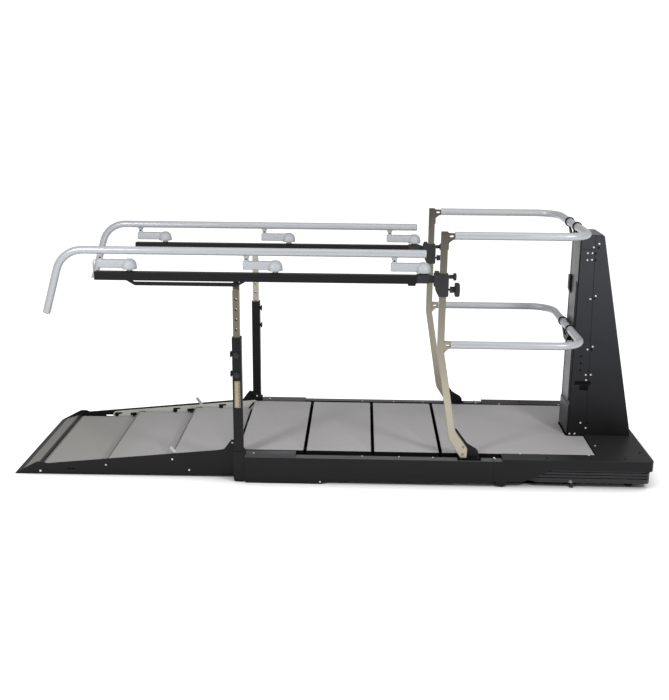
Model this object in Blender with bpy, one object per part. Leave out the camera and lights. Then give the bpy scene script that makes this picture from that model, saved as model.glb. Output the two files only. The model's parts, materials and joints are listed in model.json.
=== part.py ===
"""Rehabilitation stairs: a ramp, three rising treads and a lifting platform with its tower and rails.

Drawn with X from the ramp tip at 0, Y across the middle and Z from the floor, then moved by one empty
so that the origin is under the middle of the object. Near is -Y and far is +Y.
"""

import math

import bmesh
import bpy
from mathutils import Matrix, Vector

# Whole object
LENGTH = 3.228
SEAT = 0.0003
SIDES = (("near", -1), ("far", 1))

# Treads and platform
TREAD_TOP = 0.144
TREAD_HALF = 0.396
TREAD_DEPTH = 0.330
TREAD_GAP = 0.014
TREAD_EDGE = 0.022
TREAD_SKIN = 0.005
FIRST_FRONT = 1.152
FLOOR_CLEAR = 0.006
RISER_INSET = 0.071
RISER_THICK = 0.003
DECK_END = 2.955
DECK_EDGE = 0.036
DECK_SKIN = 0.008
NOTCH_START = 2.862
NOTCH_HALF = 0.112
NOTCH_CHAMFER = 0.008

# Lift frame under the treads
PIVOT_BACK = 0.013
PIVOT_HEIGHT = 0.0715
BAR_HEIGHT = 0.033
BAR_INSET = 0.041
STOP_INSET = 0.055
BAR_THICK = 0.015
BAR_LENGTH = 1.435
SUPPORT_BACK = 0.015
PAD_RADIUS = 0.008
PAD_CLEAR = 0.0035
PIVOT_PIN = 0.006
PIN_CLEAR = 0.0006

# Base frame
FRAME_CLEAR = 0.004
FRAME_WIDTH = 0.040
FRAME_LOW = 0.050
FRAME_TOP = 0.120
CROSS_LOW = 0.014
CROSS_TOP = 0.052
CROSS_WIDTH = 0.050
FRAME_END = 3.200

# Side rails and covers
STRIP_WIDTH = 0.0447
STRIP_TOP = 0.138
SHEET = 0.0035
SKIRT_LOW = 0.0175
SKIRT_END = 2.440
RAIL_END = 2.4795
PAN_LOW = 0.0015
PAN_THICK = 0.003
PAN_LAP = 0.030
SKID_END = 1.597
COVER_END = 1.445
COVER_TOP = 0.145
REAR_TOP = 0.148
REAR_RIM = 0.0953
REAR_WALL = 0.0055
RIB_STEP = 0.0065
RIB_START = 2.600
RIB_LOW = 0.0285

# Ramp
PLATE_STEP = 0.021
PLATE_THICK = 0.008
PLATE_END = 1.129
PLATE_RISE = 0.008
RAMP_SLOPE = 0.100
RAMP_START = 0.165
RAMP_LOW = 0.056
PANEL_INSET = 0.011
PANEL_THICK = 0.012
BARREL = 0.008
HINGE_ROD = 0.005
PANEL_PIN = 0.004
PIN_INSET = 0.016
PANELS = ((0.125, 0.455, 0.037), (0.460, 0.792, 0.068), (0.797, 1.130, 0.100))
PANEL_ANGLES = (5.3, 5.4, 6.4)
LINK_CLEAR = 0.0065
LINK_THICK = 0.006
LINK_HEIGHT = 0.062
LINK_START = 0.310
LINK_END = 1.160
LINK_TRAVEL = 0.030
GUIDE_BOLTS = (0.329, 0.675, 0.946)
LEVER_X = 0.868
LEVER_Z = 0.068
LEVER_SHAFT = 0.009
LEVER_TIP = (0.810, 0.150)
LEVER_SEAT = 0.004
LEVER_THICK = 0.004

# Front posts
POST_X = 1.159
POST_SIZE = 0.045
POST_WALL = 0.003
POST_TOPS = {"near": 0.748, "far": 0.733}
BRACKET_SKIN = 0.003
BRACKET_TOP = 0.160
BRACKET_END = 1.191
GUSSET = 0.0042
WINDOW = (0.388, 0.528)
INNER_SIZE = 0.032
INNER_WALL = 0.0025
INNER_LOW = 0.360
HEAD_GAP = 0.0555
HOLE_PITCH = 0.050
HOLE_RADIUS = 0.006
POST_KNOBS = {"near": (0.661, 0.561), "far": (0.693, 0.592)}

# Rail beams, swing arms and handrails
BEAM_START = 0.479
BEAM_END = 2.026
BEAM_SIZE = 0.040
BEAM_DROP = 0.0195
WASHER = 0.004
ARM_PIVOTS = (0.648, 1.350, 2.057)
ARM_REACH = 0.138
ARM_LIFT = 0.018
ARM_THICK = 0.0365
ARM_HALF = 0.017
TUBE = 0.019
STEM_HEIGHT = 0.048
HANDRAIL_END = 2.070
HANDRAIL_CORNER = 0.323
HANDRAIL_FOOT = 0.231
HANDRAIL_DROP = 0.311
HANDRAIL_BEND = 0.135

# Uprights, clamps and guard rails
UPRIGHT_X = 2.153
UPRIGHT_WIDE = 0.034
UPRIGHT_DEEP = 0.025
UPRIGHT_OVER = 0.019
CLAMP_BELOW = 0.079
CLAMP_ABOVE = 0.030
CLAMP_LEFT = 2.108
CLAMP_RIGHT = 2.179
CLAMP_HALF = 0.024
CLAMP_KNOB_RISES = {"small": 0.015, "large": -0.048}
HINGE_X = 2.115
HINGE_Z = 1.045
GUARD_HEIGHTS = {"upper": 1.257, "lower": 0.724}
GUARD_STARTS = {"upper": 2.2013, "lower": 2.2003}
LUG_SPANS = {"upper": (0.013, 0.067), "lower": (0.018, 0.038)}
GUARD_REAR = 2.848
GUARD_BEND = 0.130
RING_Y = 0.094
RING_HALF = 0.0055
YOKE_DROP = 0.078

# Tower
TOWER_FRONT = 2.872
TOWER_HALF = 0.105
TOWER_SKIN = 0.004
TOWER_LOW = 0.0605
TOWER_OVER = 0.025
TOWER_TOP_REAR = 2.988
TOWER_REAR = 3.199
TOWER_KNEE = 0.173
MAST_HALF = 0.030
MAST_NEAR = 0.078
LID_THICK = 0.003
MAST_BACK = 2.930
MAST_FACE = 2.880
MAST_LOW = 0.100
MAST_DROP = 0.067
HEAD_LOW = 0.970
ROD_X = 2.957
ROD_RADIUS = 0.014
RAM_RADIUS = 0.020
RAM_TOP = 0.920

# Derived places
FRAME_IN = TREAD_HALF + FRAME_CLEAR
FRAME_OUT = FRAME_IN + FRAME_WIDTH
RAIL_IN = FRAME_OUT + SEAT
HALF_WIDTH = RAIL_IN + STRIP_WIDTH
RIB_OUT = HALF_WIDTH - RIB_STEP
PAN_HALF = FRAME_IN + PAN_LAP
RISER_HALF = TREAD_HALF - RISER_INSET
BAR_IN = TREAD_HALF - BAR_INSET
STOP_Y = BAR_IN - STOP_INSET
SUPPORT_PITCH = TREAD_DEPTH - SUPPORT_BACK
PANEL_HALF = TREAD_HALF - PANEL_INSET
PLATE_OUT = TREAD_HALF + PLATE_STEP
PLATE_IN = PLATE_OUT - PLATE_THICK
POST_Y = PLATE_OUT + SEAT + GUSSET + BRACKET_SKIN + POST_SIZE / 2
FRAME_START = BRACKET_END + SEAT
PIVOT_X = FIRST_FRONT + PIVOT_BACK
TREAD_FRONTS = tuple(FIRST_FRONT + i * (TREAD_DEPTH + TREAD_GAP) for i in range(3))
DECK_FRONT = TREAD_FRONTS[2] + TREAD_DEPTH + TREAD_GAP
DECK_CEILING = TREAD_TOP - DECK_SKIN
BEAM_LOW = HINGE_Z - BEAM_DROP
BEAM_TOP = BEAM_LOW + BEAM_SIZE
ARM_LOW = BEAM_TOP + ARM_LIFT
ARM_TOP = ARM_LOW + ARM_THICK
HANDRAIL_Z = ARM_TOP + STEM_HEIGHT
INNER_TOP = BEAM_LOW - HEAD_GAP
CLAMP_KNOBS = {size: HINGE_Z + rise for size, rise in CLAMP_KNOB_RISES.items()}
CLAMP_LOW = HINGE_Z - CLAMP_BELOW
CLAMP_TOP = HINGE_Z + CLAMP_ABOVE
SHOULDER_LOW = HINGE_Z - 0.0165
SHOULDER_TOP = HINGE_Z + 0.0255
UPRIGHT_TOP = GUARD_HEIGHTS["upper"] + UPRIGHT_OVER
MAST_TOP = GUARD_HEIGHTS["upper"] - MAST_DROP
TOWER_TOP = MAST_TOP + TOWER_OVER

FINISHES = {
    "black": ((0.030, 0.030, 0.034), 0.48, 0.2),
    "silver": ((0.56, 0.58, 0.60), 0.38, 0.3),
    "strip": ((0.50, 0.51, 0.52), 0.42, 0.3),
    "vinyl": ((0.33, 0.32, 0.33), 0.85, 0.0),
    "champagne": ((0.50, 0.45, 0.35), 0.36, 0.6),
    "bronze": ((0.26, 0.23, 0.17), 0.38, 0.7),
    "zinc": ((0.32, 0.34, 0.30), 0.40, 0.7),
    "plastic": ((0.020, 0.020, 0.022), 0.40, 0.0),
}


# Scene set-up
def clear_scene():
    for old in list(bpy.data.objects):
        bpy.data.objects.remove(old, do_unlink=True)


def new_collection(name):
    collection = bpy.data.collections.new(name)
    bpy.context.scene.collection.children.link(collection)
    return collection


def make_finish(name, colour, roughness, metallic):
    finish = bpy.data.materials.new(name)
    finish.use_nodes = True
    shader = finish.node_tree.nodes["Principled BSDF"]
    shader.inputs["Base Color"].default_value = (*colour, 1.0)
    shader.inputs["Roughness"].default_value = roughness
    shader.inputs["Metallic"].default_value = metallic
    return finish


clear_scene()
PARTS = new_collection("rehabilitation_stairs")
CUTTERS = new_collection("cutters")
ROOT = bpy.data.objects.new("stairs_middle", None)
ROOT.location = (-LENGTH / 2, 0.0, 0.0)
PARTS.objects.link(ROOT)
MATERIALS = {name: make_finish(name, *look) for name, look in FINISHES.items()}


# Simple solids
def object_of(mesh):
    return bpy.data.objects.new("solid", mesh)


def mesh_from(bm):
    bmesh.ops.recalc_face_normals(bm, faces=bm.faces)
    mesh = bpy.data.meshes.new("solid")
    bm.to_mesh(mesh)
    bm.free()
    return object_of(mesh)


def box(low, high):
    size = [b - a for a, b in zip(low, high)]
    middle = [(a + b) / 2 for a, b in zip(low, high)]
    bm = bmesh.new()
    bmesh.ops.create_cube(bm, size=1.0, matrix=Matrix.Translation(middle) @ Matrix.Diagonal((*size, 1.0)))
    return mesh_from(bm)


def side_box(side, x, y, z):
    """A box on one side, with y as inner and outer distance from the middle."""
    low_y, high_y = sorted((side * y[0], side * y[1]))
    return box((x[0], low_y, z[0]), (x[1], high_y, z[1]))


def rod(start, end, radius, end_radius=None, sides=20):
    start, end = Vector(start), Vector(end)
    along = end - start
    turn = Vector((0, 0, 1)).rotation_difference(along).to_matrix().to_4x4()
    bm = bmesh.new()
    bmesh.ops.create_cone(
        bm,
        cap_ends=True,
        segments=sides,
        radius1=radius,
        radius2=radius if end_radius is None else end_radius,
        depth=along.length,
        matrix=Matrix.Translation((start + end) / 2) @ turn,
    )
    return mesh_from(bm)


def ball(centre, radius, squash=1.0):
    bm = bmesh.new()
    place = Matrix.Translation(centre) @ Matrix.Diagonal((1.0, 1.0, squash, 1.0))
    bmesh.ops.create_uvsphere(bm, u_segments=20, v_segments=10, radius=radius, matrix=place)
    return mesh_from(bm)


# Outlines and paths
def bent(points, radius, steps=6, closed=True):
    """The path with each corner turned into an arc, in two or three dimensions."""
    corners = [Vector(point) for point in points]
    count = len(corners)
    result = []
    for i, corner in enumerate(corners):
        reach = radius[i] if isinstance(radius, (list, tuple)) else radius
        if reach == 0 or (not closed and i in (0, count - 1)):
            result.append(corner)
            continue
        back = (corners[i - 1] - corner).normalized()
        ahead = (corners[(i + 1) % count] - corner).normalized()
        half = back.angle(ahead) / 2
        middle = corner + (back + ahead).normalized() * (reach / math.sin(half))
        first = corner + back * (reach / math.tan(half)) - middle
        last = corner + ahead * (reach / math.tan(half)) - middle
        sweep = first.angle(last)
        for step in range(steps + 1):
            share = step / steps
            arm = (first * math.sin((1 - share) * sweep) + last * math.sin(share * sweep)) / math.sin(sweep)
            result.append(middle + arm)
    return result


def circle(u, v, radius, sides=16):
    angles = [2 * math.pi * i / sides for i in range(sides)]
    return [(u + radius * math.cos(a), v + radius * math.sin(a)) for a in angles]


def slot(start, end, radius, steps=6):
    """A rounded slot between two points of an outline's plane."""
    heading = math.atan2(end[1] - start[1], end[0] - start[0])
    ring = []
    for (u, v), turn in ((end, -math.pi / 2), (start, math.pi / 2)):
        for step in range(steps + 1):
            angle = heading + turn + math.pi * step / steps
            ring.append((u + radius * math.cos(angle), v + radius * math.sin(angle)))
    return ring


def mesh_of_curve(curve, place):
    """The curve's own solid, with its caps joined to its sides."""
    holder = bpy.data.objects.new("outline", curve)
    PARTS.objects.link(holder)
    graph = bpy.context.evaluated_depsgraph_get()
    mesh = bpy.data.meshes.new_from_object(holder.evaluated_get(graph))
    bm = bmesh.new()
    bm.from_mesh(mesh)
    bmesh.ops.remove_doubles(bm, verts=bm.verts, dist=0.00001)
    bmesh.ops.transform(bm, matrix=place, verts=bm.verts)
    bpy.data.objects.remove(holder, do_unlink=True)
    return mesh_from(bm)


PLANES = {
    "XY": Matrix.Identity(4),
    "XZ": Matrix.Rotation(math.pi / 2, 4, "X"),
    "YZ": Matrix(((0, 0, 1, 0), (1, 0, 0, 0), (0, 1, 0, 0), (0, 0, 0, 1))),
}
NORMALS = {"XY": Vector((0, 0, 1)), "XZ": Vector((0, 1, 0)), "YZ": Vector((1, 0, 0))}


def plate(plane, outline, faces, holes=()):
    """A flat outline in a plane, filled between the two faces along the plane's third axis."""
    low, high = sorted(faces)
    curve = bpy.data.curves.new("outline", "CURVE")
    curve.dimensions = "2D"
    curve.fill_mode = "BOTH"
    curve.extrude = (high - low) / 2
    for ring in (outline, *holes):
        spline = curve.splines.new("POLY")
        spline.points.add(len(ring) - 1)
        for point, place in zip(spline.points, ring):
            point.co = (place[0], place[1], 0.0, 1.0)
        spline.use_cyclic_u = True
    middle = Matrix.Translation(NORMALS[plane] * ((low + high) / 2))
    return mesh_of_curve(curve, middle @ PLANES[plane])


def pipe(path, radius, resolution):
    curve = bpy.data.curves.new("path", "CURVE")
    curve.dimensions = "3D"
    curve.bevel_depth = radius
    curve.bevel_resolution = resolution
    curve.use_fill_caps = True
    spline = curve.splines.new("POLY")
    spline.points.add(len(path) - 1)
    for point, place in zip(spline.points, path):
        point.co = (*place, 1.0)
    return mesh_of_curve(curve, Matrix.Identity(4))


# Nodes
def combine(body, others, operation):
    for other in others:
        CUTTERS.objects.link(other)
        other.parent = ROOT
        other.hide_render = True
        other.display_type = "WIRE"
        step = body.modifiers.new(operation.lower(), "BOOLEAN")
        step.operation = operation
        step.solver = "EXACT"
        step.object = other


def node(name, body, finish, add=(), cut=(), origin=(0.0, 0.0, 0.0), smooth=False):
    """One named piece: a solid, what is joined to it and cut from it, and its origin on its joint axis."""
    body.name = name
    body.data.name = name
    body.data.transform(Matrix.Translation(-Vector(origin)))
    body.location = origin
    body.parent = ROOT
    body.data.materials.append(MATERIALS[finish])
    PARTS.objects.link(body)
    if smooth:
        body.data.set_sharp_from_angle(angle=math.radians(35))
    combine(body, add, "UNION")
    combine(body, cut, "DIFFERENCE")
    return body


# Base frame, rails and covers
def make_base_frame():
    long_tube = side_box(-1, (FRAME_START, FRAME_END), (FRAME_IN, FRAME_OUT), (FRAME_LOW, FRAME_TOP))
    others = [side_box(1, (FRAME_START, FRAME_END), (FRAME_IN, FRAME_OUT), (FRAME_LOW, FRAME_TOP))]
    reach = FRAME_OUT - 0.003
    for start in (FRAME_START + 0.008, 1.600, 1.950, 2.450, 3.100):
        others.append(box((start, -reach, CROSS_LOW), (start + CROSS_WIDTH, reach, CROSS_TOP)))
        for _, side in SIDES:
            y = side * (FRAME_IN + FRAME_WIDTH / 2)
            foot_x = start + CROSS_WIDTH / 2
            others.append(rod((foot_x, y, 0.0), (foot_x, y, CROSS_LOW + 0.002), 0.020))
    stops = [(start, TREAD_TOP - TREAD_SKIN - SEAT) for start in (FRAME_START + 0.008, 1.600, 1.950)]
    stops.append((2.450, DECK_CEILING - SEAT))
    for _, side in SIDES:
        for start, top in stops:
            foot_x = start + CROSS_WIDTH / 2
            others.append(rod((foot_x, side * STOP_Y, CROSS_TOP - 0.003), (foot_x, side * STOP_Y, top), 0.009))
        lug_y = (BAR_IN - 0.022, BAR_IN - 0.004)
        lug = bent(
            [
                (PIVOT_X - 0.014, PIVOT_HEIGHT - 0.028),
                (FRAME_START + 0.020, CROSS_LOW + 0.004),
                (FRAME_START + 0.020, CROSS_TOP - 0.002),
                (PIVOT_X + 0.010, PIVOT_HEIGHT + 0.014),
                (PIVOT_X - 0.014, PIVOT_HEIGHT + 0.014),
            ],
            [0, 0, 0, 0.006, 0.006],
        )
        others.append(plate("XZ", lug, (side * lug_y[0], side * lug_y[1])))
        pin_in, pin_out = side * (BAR_IN - 0.010), side * (BAR_IN + BAR_THICK - 0.001)
        others.append(rod((PIVOT_X, pin_in, PIVOT_HEIGHT), (PIVOT_X, pin_out, PIVOT_HEIGHT), PIVOT_PIN))
    half = TOWER_HALF - TOWER_SKIN - SEAT
    others.append(box((MAST_FACE - 0.004, -half, CROSS_LOW), (FRAME_END, half, TOWER_LOW - SEAT)))
    pan = box((FRAME_START + 0.005, -PAN_HALF, PAN_LOW), (MAST_FACE - 0.020, PAN_HALF, PAN_LOW + PAN_THICK))
    node("base_frame", long_tube, "black", add=[*others, pan])


def make_side_rails():
    for name, side in SIDES:
        section = [
            (side * HALF_WIDTH, SKIRT_LOW),
            (side * HALF_WIDTH, STRIP_TOP),
            (side * RAIL_IN, STRIP_TOP),
            (side * RAIL_IN, FRAME_LOW + 0.045),
            (side * (RAIL_IN + SHEET), FRAME_LOW + 0.045),
            (side * (RAIL_IN + SHEET), STRIP_TOP - SHEET),
            (side * (HALF_WIDTH - SHEET), STRIP_TOP - SHEET),
            (side * (HALF_WIDTH - SHEET), SKIRT_LOW),
        ]
        section = bent(section, [0, 0.003, 0, 0, 0, 0, 0, 0], 3)
        rail = plate("YZ", section, (FRAME_START, RAIL_END))
        skid = [
            (FRAME_START, SKIRT_LOW + 0.037),
            (FRAME_START, 0.0),
            (SKID_END, 0.0),
            (SKID_END, SKIRT_LOW + 0.037),
        ]
        skid = bent(skid, [0.006, 0.010, 0.022, 0.006])
        skid_solid = plate("XZ", skid, (side * (HALF_WIDTH - 0.014), side * (HALF_WIDTH - 0.0002)))
        notch = side_box(side, (2.255, 2.375), (RAIL_IN - 0.010, HALF_WIDTH - SHEET), (0.090, 0.160))
        wall = (RAIL_IN + SHEET + 0.004, HALF_WIDTH + 0.010)
        end = side_box(side, (SKIRT_END, RAIL_END + 0.010), wall, (-0.010, STRIP_TOP - SHEET - 0.0005))
        node(f"side_rail_{name}", rail, "strip", add=[skid_solid], cut=[notch, end])


def make_front_covers():
    for name, side in SIDES:
        section = [
            (side * (FRAME_IN + 0.005), FRAME_TOP + SEAT),
            (side * (FRAME_IN + 0.005), COVER_TOP),
            (side * (HALF_WIDTH - 0.001), COVER_TOP),
            (side * (HALF_WIDTH - 0.001), STRIP_TOP + SEAT),
            (side * (FRAME_IN + 0.009), STRIP_TOP + SEAT),
            (side * (FRAME_IN + 0.009), FRAME_TOP + SEAT),
        ]
        section = bent(section, [0, 0.003, 0.004, 0, 0, 0], 3)
        node(f"front_cover_{name}", plate("YZ", section, (FRAME_START + 0.001, COVER_END)), "black")


def make_rear_cover():
    inner = FRAME_IN
    rear = LENGTH
    start = RAIL_END + SEAT
    deck_rear = DECK_END + 0.004
    tower = TOWER_HALF + 0.0015
    outline = [
        (start, -HALF_WIDTH),
        (rear, -HALF_WIDTH),
        (rear, HALF_WIDTH),
        (start, HALF_WIDTH),
        (start, inner),
        (deck_rear, inner),
        (deck_rear, tower),
        (TOWER_REAR + 0.0015, tower),
        (TOWER_REAR + 0.0015, -tower),
        (deck_rear, -tower),
        (deck_rear, -inner),
        (start, -inner),
    ]
    outline = bent(outline, [0, 0.020, 0.020, 0] + [0] * 8, 5)
    top = plate("XY", outline, (REAR_TOP - 0.008, REAR_TOP))
    outer, middle = HALF_WIDTH - 0.0005, HALF_WIDTH - 0.016
    skirt = [
        (start + 0.002, -outer),
        (rear - 0.0005, -outer),
        (rear - 0.0005, outer),
        (start + 0.002, outer),
        (start + 0.002, middle),
        (rear - 0.016, middle),
        (rear - 0.016, -middle),
        (start + 0.002, -middle),
    ]
    skirt = bent(skirt, [0, 0.0195, 0.0195, 0, 0, 0.006, 0.006, 0], 5)
    others = [plate("XY", skirt, (REAR_RIM, REAR_TOP - 0.006))]
    cheek = [
        (SKIRT_END + 0.0008, STRIP_TOP - SHEET - 0.001),
        (SKIRT_END + 0.0008, 0.026),
        (2.452, 0.0265),
        (2.457, 0.006),
        (2.497, 0.006),
        (2.502, 0.0275),
        (2.580, 0.0285),
        (2.690, 0.077),
        (2.735, REAR_RIM + 0.004),
        (2.735, 0.125),
        (start + 0.014, 0.125),
        (start + 0.014, STRIP_TOP - SHEET - 0.001),
    ]
    cheek = bent(cheek, [0, 0.004, 0.003, 0.004, 0.004, 0.003, 0.020, 0.030, 0.004, 0, 0, 0], 3)
    for _, side in SIDES:
        faces = (side * (HALF_WIDTH - REAR_WALL), side * (HALF_WIDTH - 0.0002))
        others.append(plate("XZ", cheek, faces))
    node("rear_cover", top, "black", add=others)


def ribbed_outline(outset):
    outer = RIB_OUT - 0.006 + outset
    rear = LENGTH - 0.016 + outset
    inner = RAIL_IN + 0.0005
    back = FRAME_END + SEAT
    start = RIB_START + (0.006 - outset)
    taper = 0.060
    corners = [
        (start, -inner - 0.004),
        (start + taper, -outer),
        (rear, -outer),
        (rear, outer),
        (start + taper, outer),
        (start, inner + 0.004),
        (start, inner),
        (back, inner),
        (back, -inner),
        (start, -inner),
    ]
    return bent(corners, [0, 0.010, 0.030, 0.030, 0.010, 0, 0, 0, 0, 0], 5)


def make_rear_base():
    body = plate("XY", ribbed_outline(0.0), (RIB_LOW + 0.0005, REAR_RIM - 0.0005))
    others = []
    for low, high in ((RIB_LOW, 0.052), (0.0575, 0.068), (0.0725, 0.083), (0.0925, REAR_RIM - SEAT)):
        others.append(plate("XY", ribbed_outline(0.006), (low, high)))
    for _, side in SIDES:
        y = side * (RAIL_IN + 0.024)
        others.append(rod((2.830, y, 0.0), (2.830, y, RIB_LOW + 0.004), 0.011, 0.009))
    node("rear_base", body, "black", add=others)


# Ramp
def link_top(x):
    return RAMP_LOW - 0.006 + RAMP_SLOPE * (x - RAMP_START)


def panel_hinge(front, top):
    return front + BARREL, top - BARREL


def panel_pin_place(front, rear, top):
    return rear - PIN_INSET, top - PANEL_THICK / 2


def make_ramp_frame():
    top_end = RAMP_LOW + RAMP_SLOPE * (1.044 - RAMP_START)
    outline = [
        (0.0, 0.0),
        (PLATE_END, PLATE_RISE),
        (PLATE_END, 0.203),
        (1.116, 0.200),
        (1.079, 0.150),
        (1.044, top_end),
        (RAMP_START, RAMP_LOW),
        (0.148, RAMP_LOW + 0.008),
        (0.118, RAMP_LOW + 0.008),
        (0.106, 0.060),
        (0.0, 0.003),
    ]
    outline = bent(outline, [0, 0, 0.003, 0.004, 0.010, 0.010, 0.006, 0.006, 0.004, 0, 0], 3)
    far_slot = slot((0.2680, 0.0350), (0.3030, 0.0350), 0.0050, 4)
    near_slot = slot((0.2770, 0.0320), (0.3090, 0.0320), 0.0044, 4)
    cuts = [plate("XZ", near_slot, (-PLATE_OUT - 0.004, -PLATE_IN - 0.002))]
    solids = []
    for name, side in SIDES:
        faces = (side * PLATE_IN, side * PLATE_OUT)
        solids.append(plate("XZ", outline, faces, [far_slot] if name == "far" else []))
        ends = [(LEVER_X, side * y, LEVER_Z) for y in (PLATE_IN - 0.004, PLATE_IN + LEVER_SEAT + SEAT)]
        cuts.append(rod(*ends, LEVER_SHAFT + PIN_CLEAR, sides=20))
    for front, _, top in PANELS:
        x, z = panel_hinge(front, top)
        reach = PLATE_IN + 0.003
        solids.append(rod((x, -reach, z), (x, reach, z), HINGE_ROD, sides=12))
    for _, side in SIDES:
        for x in GUIDE_BOLTS:
            z = link_top(x) - 0.014
            inner = PLATE_IN - LINK_CLEAR - LINK_THICK - 0.0012
            solids.append(rod((x, side * (inner - 0.002), z), (x, side * (PLATE_IN + 0.003), z), 0.0045, sides=12))
            solids.append(rod((x, side * (inner - 0.005), z), (x, side * inner, z), 0.005, 0.008, sides=16))
    node("ramp_frame", solids[0], "black", add=solids[1:], cut=cuts)


def make_ramp_nose():
    outline = [
        (0.0, 0.0),
        (0.0, 0.004),
        (0.110, 0.0365),
        (0.121, 0.0365),
        (0.121, 0.0),
        (0.117, 0.0),
        (0.117, 0.0315),
        (0.110, 0.0315),
        (0.020, 0.0045),
        (0.020, 0.0),
    ]
    half = PLATE_IN - SEAT
    node("ramp_nose", plate("XZ", outline, (-half, half)), "black")


def make_ramp_panels():
    for i, (front, rear, top) in enumerate(PANELS, 1):
        hinge_x, hinge_z = panel_hinge(front, top)
        pin_x, pin_z = panel_pin_place(front, rear, top)
        half = PANEL_HALF
        slab = box((hinge_x, -half, top - PANEL_THICK), (rear, half, top))
        barrel = rod((hinge_x, -half, hinge_z), (hinge_x, half, hinge_z), BARREL - 0.0002, sides=24)
        reach = PLATE_IN - LINK_CLEAR - 0.0005
        pin = rod((pin_x, -reach, pin_z), (pin_x, reach, pin_z), PANEL_PIN, sides=12)
        pocket_low = (hinge_x + 0.014, -half + 0.012, top - PANEL_THICK - 0.001)
        pocket = box(pocket_low, (rear - 0.022, half - 0.012, top - 0.005))
        ribs = [box((x - 0.003, -half + 0.010, top - PANEL_THICK + 0.0005), (x + 0.003, half - 0.010, top - 0.004))
                for x in (front + 0.120, front + 0.220)]
        bore = rod((hinge_x, -half - 0.01, hinge_z), (hinge_x, half + 0.01, hinge_z), HINGE_ROD + PIN_CLEAR, sides=12)
        body = node(
            f"ramp_panel_{i}", slab, "vinyl", add=[barrel, pin], cut=[pocket, bore], origin=(hinge_x, 0.0, hinge_z)
        )
        combine(body, ribs, "UNION")


def make_ramp_links():
    slope = math.atan(RAMP_SLOPE)
    slide = (LINK_TRAVEL * math.cos(slope), LINK_TRAVEL * math.sin(slope))
    low_start = link_top(LINK_START) - LINK_HEIGHT
    low_end = link_top(LINK_END) - LINK_HEIGHT
    outline = bent(
        [
            (LINK_START, low_start),
            (LINK_END, low_end),
            (LINK_END, link_top(LINK_END)),
            (LINK_START, link_top(LINK_START)),
        ],
        [0.020, 0.010, 0.010, 0.020],
    )
    rings = []
    for x in GUIDE_BOLTS:
        z = link_top(x) - 0.014
        rings.append(slot((x, z), (x + slide[0], z + slide[1]), 0.0055))
    for (front, rear, top), degrees in zip(PANELS, PANEL_ANGLES):
        hinge = Vector(panel_hinge(front, top))
        start = Vector(panel_pin_place(front, rear, top))
        arm = start - hinge
        turn = math.radians(degrees)
        lifted = Vector(
            (arm.x * math.cos(turn) - arm.y * math.sin(turn), arm.x * math.sin(turn) + arm.y * math.cos(turn))
        )
        end = hinge + lifted + Vector(slide)
        rings.append(slot(start, end, PANEL_PIN + 0.001))
        if front > LINK_START:
            rings.append(slot(hinge, hinge + Vector(slide), HINGE_ROD + 0.001))
    for name, side in SIDES:
        faces = (side * (PLATE_IN - LINK_CLEAR - LINK_THICK), side * (PLATE_IN - LINK_CLEAR))
        notch = side_box(
            side,
            (LEVER_X - LEVER_SHAFT - 0.003, LEVER_X + LINK_TRAVEL + LEVER_SHAFT + 0.003),
            (PLATE_IN - 0.020, PLATE_IN - 0.001),
            (0.0, LEVER_Z + LEVER_SHAFT + 0.003),
        )
        middle = side * (PLATE_IN - LINK_CLEAR - LINK_THICK / 2)
        slots = [plate("XZ", ring, (middle - LINK_THICK, middle + LINK_THICK)) for ring in rings]
        node(f"ramp_link_{name}", plate("XZ", outline, faces), "zinc", cut=[notch, *slots])


def make_ramp_lever():
    reach = PLATE_IN + LEVER_SEAT
    shaft = rod((LEVER_X, -reach, LEVER_Z), (LEVER_X, reach, LEVER_Z), LEVER_SHAFT)
    arms = []
    outer = PLATE_IN - (LINK_CLEAR - LEVER_THICK) / 2
    for _, side in SIDES:
        lever = slot((LEVER_X, LEVER_Z), LEVER_TIP, 0.0080, 8)
        faces = (side * (outer - LEVER_THICK), side * outer)
        arms.append(plate("XZ", lever, faces))
        hub = (side * (outer - LEVER_THICK - 0.0008), side * (outer + 0.0008))
        arms.append(rod((LEVER_X, hub[0], LEVER_Z), (LEVER_X, hub[1], LEVER_Z), 0.013))
    node("ramp_lever", shaft, "silver", add=arms, origin=(LEVER_X, 0.0, LEVER_Z))


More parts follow.
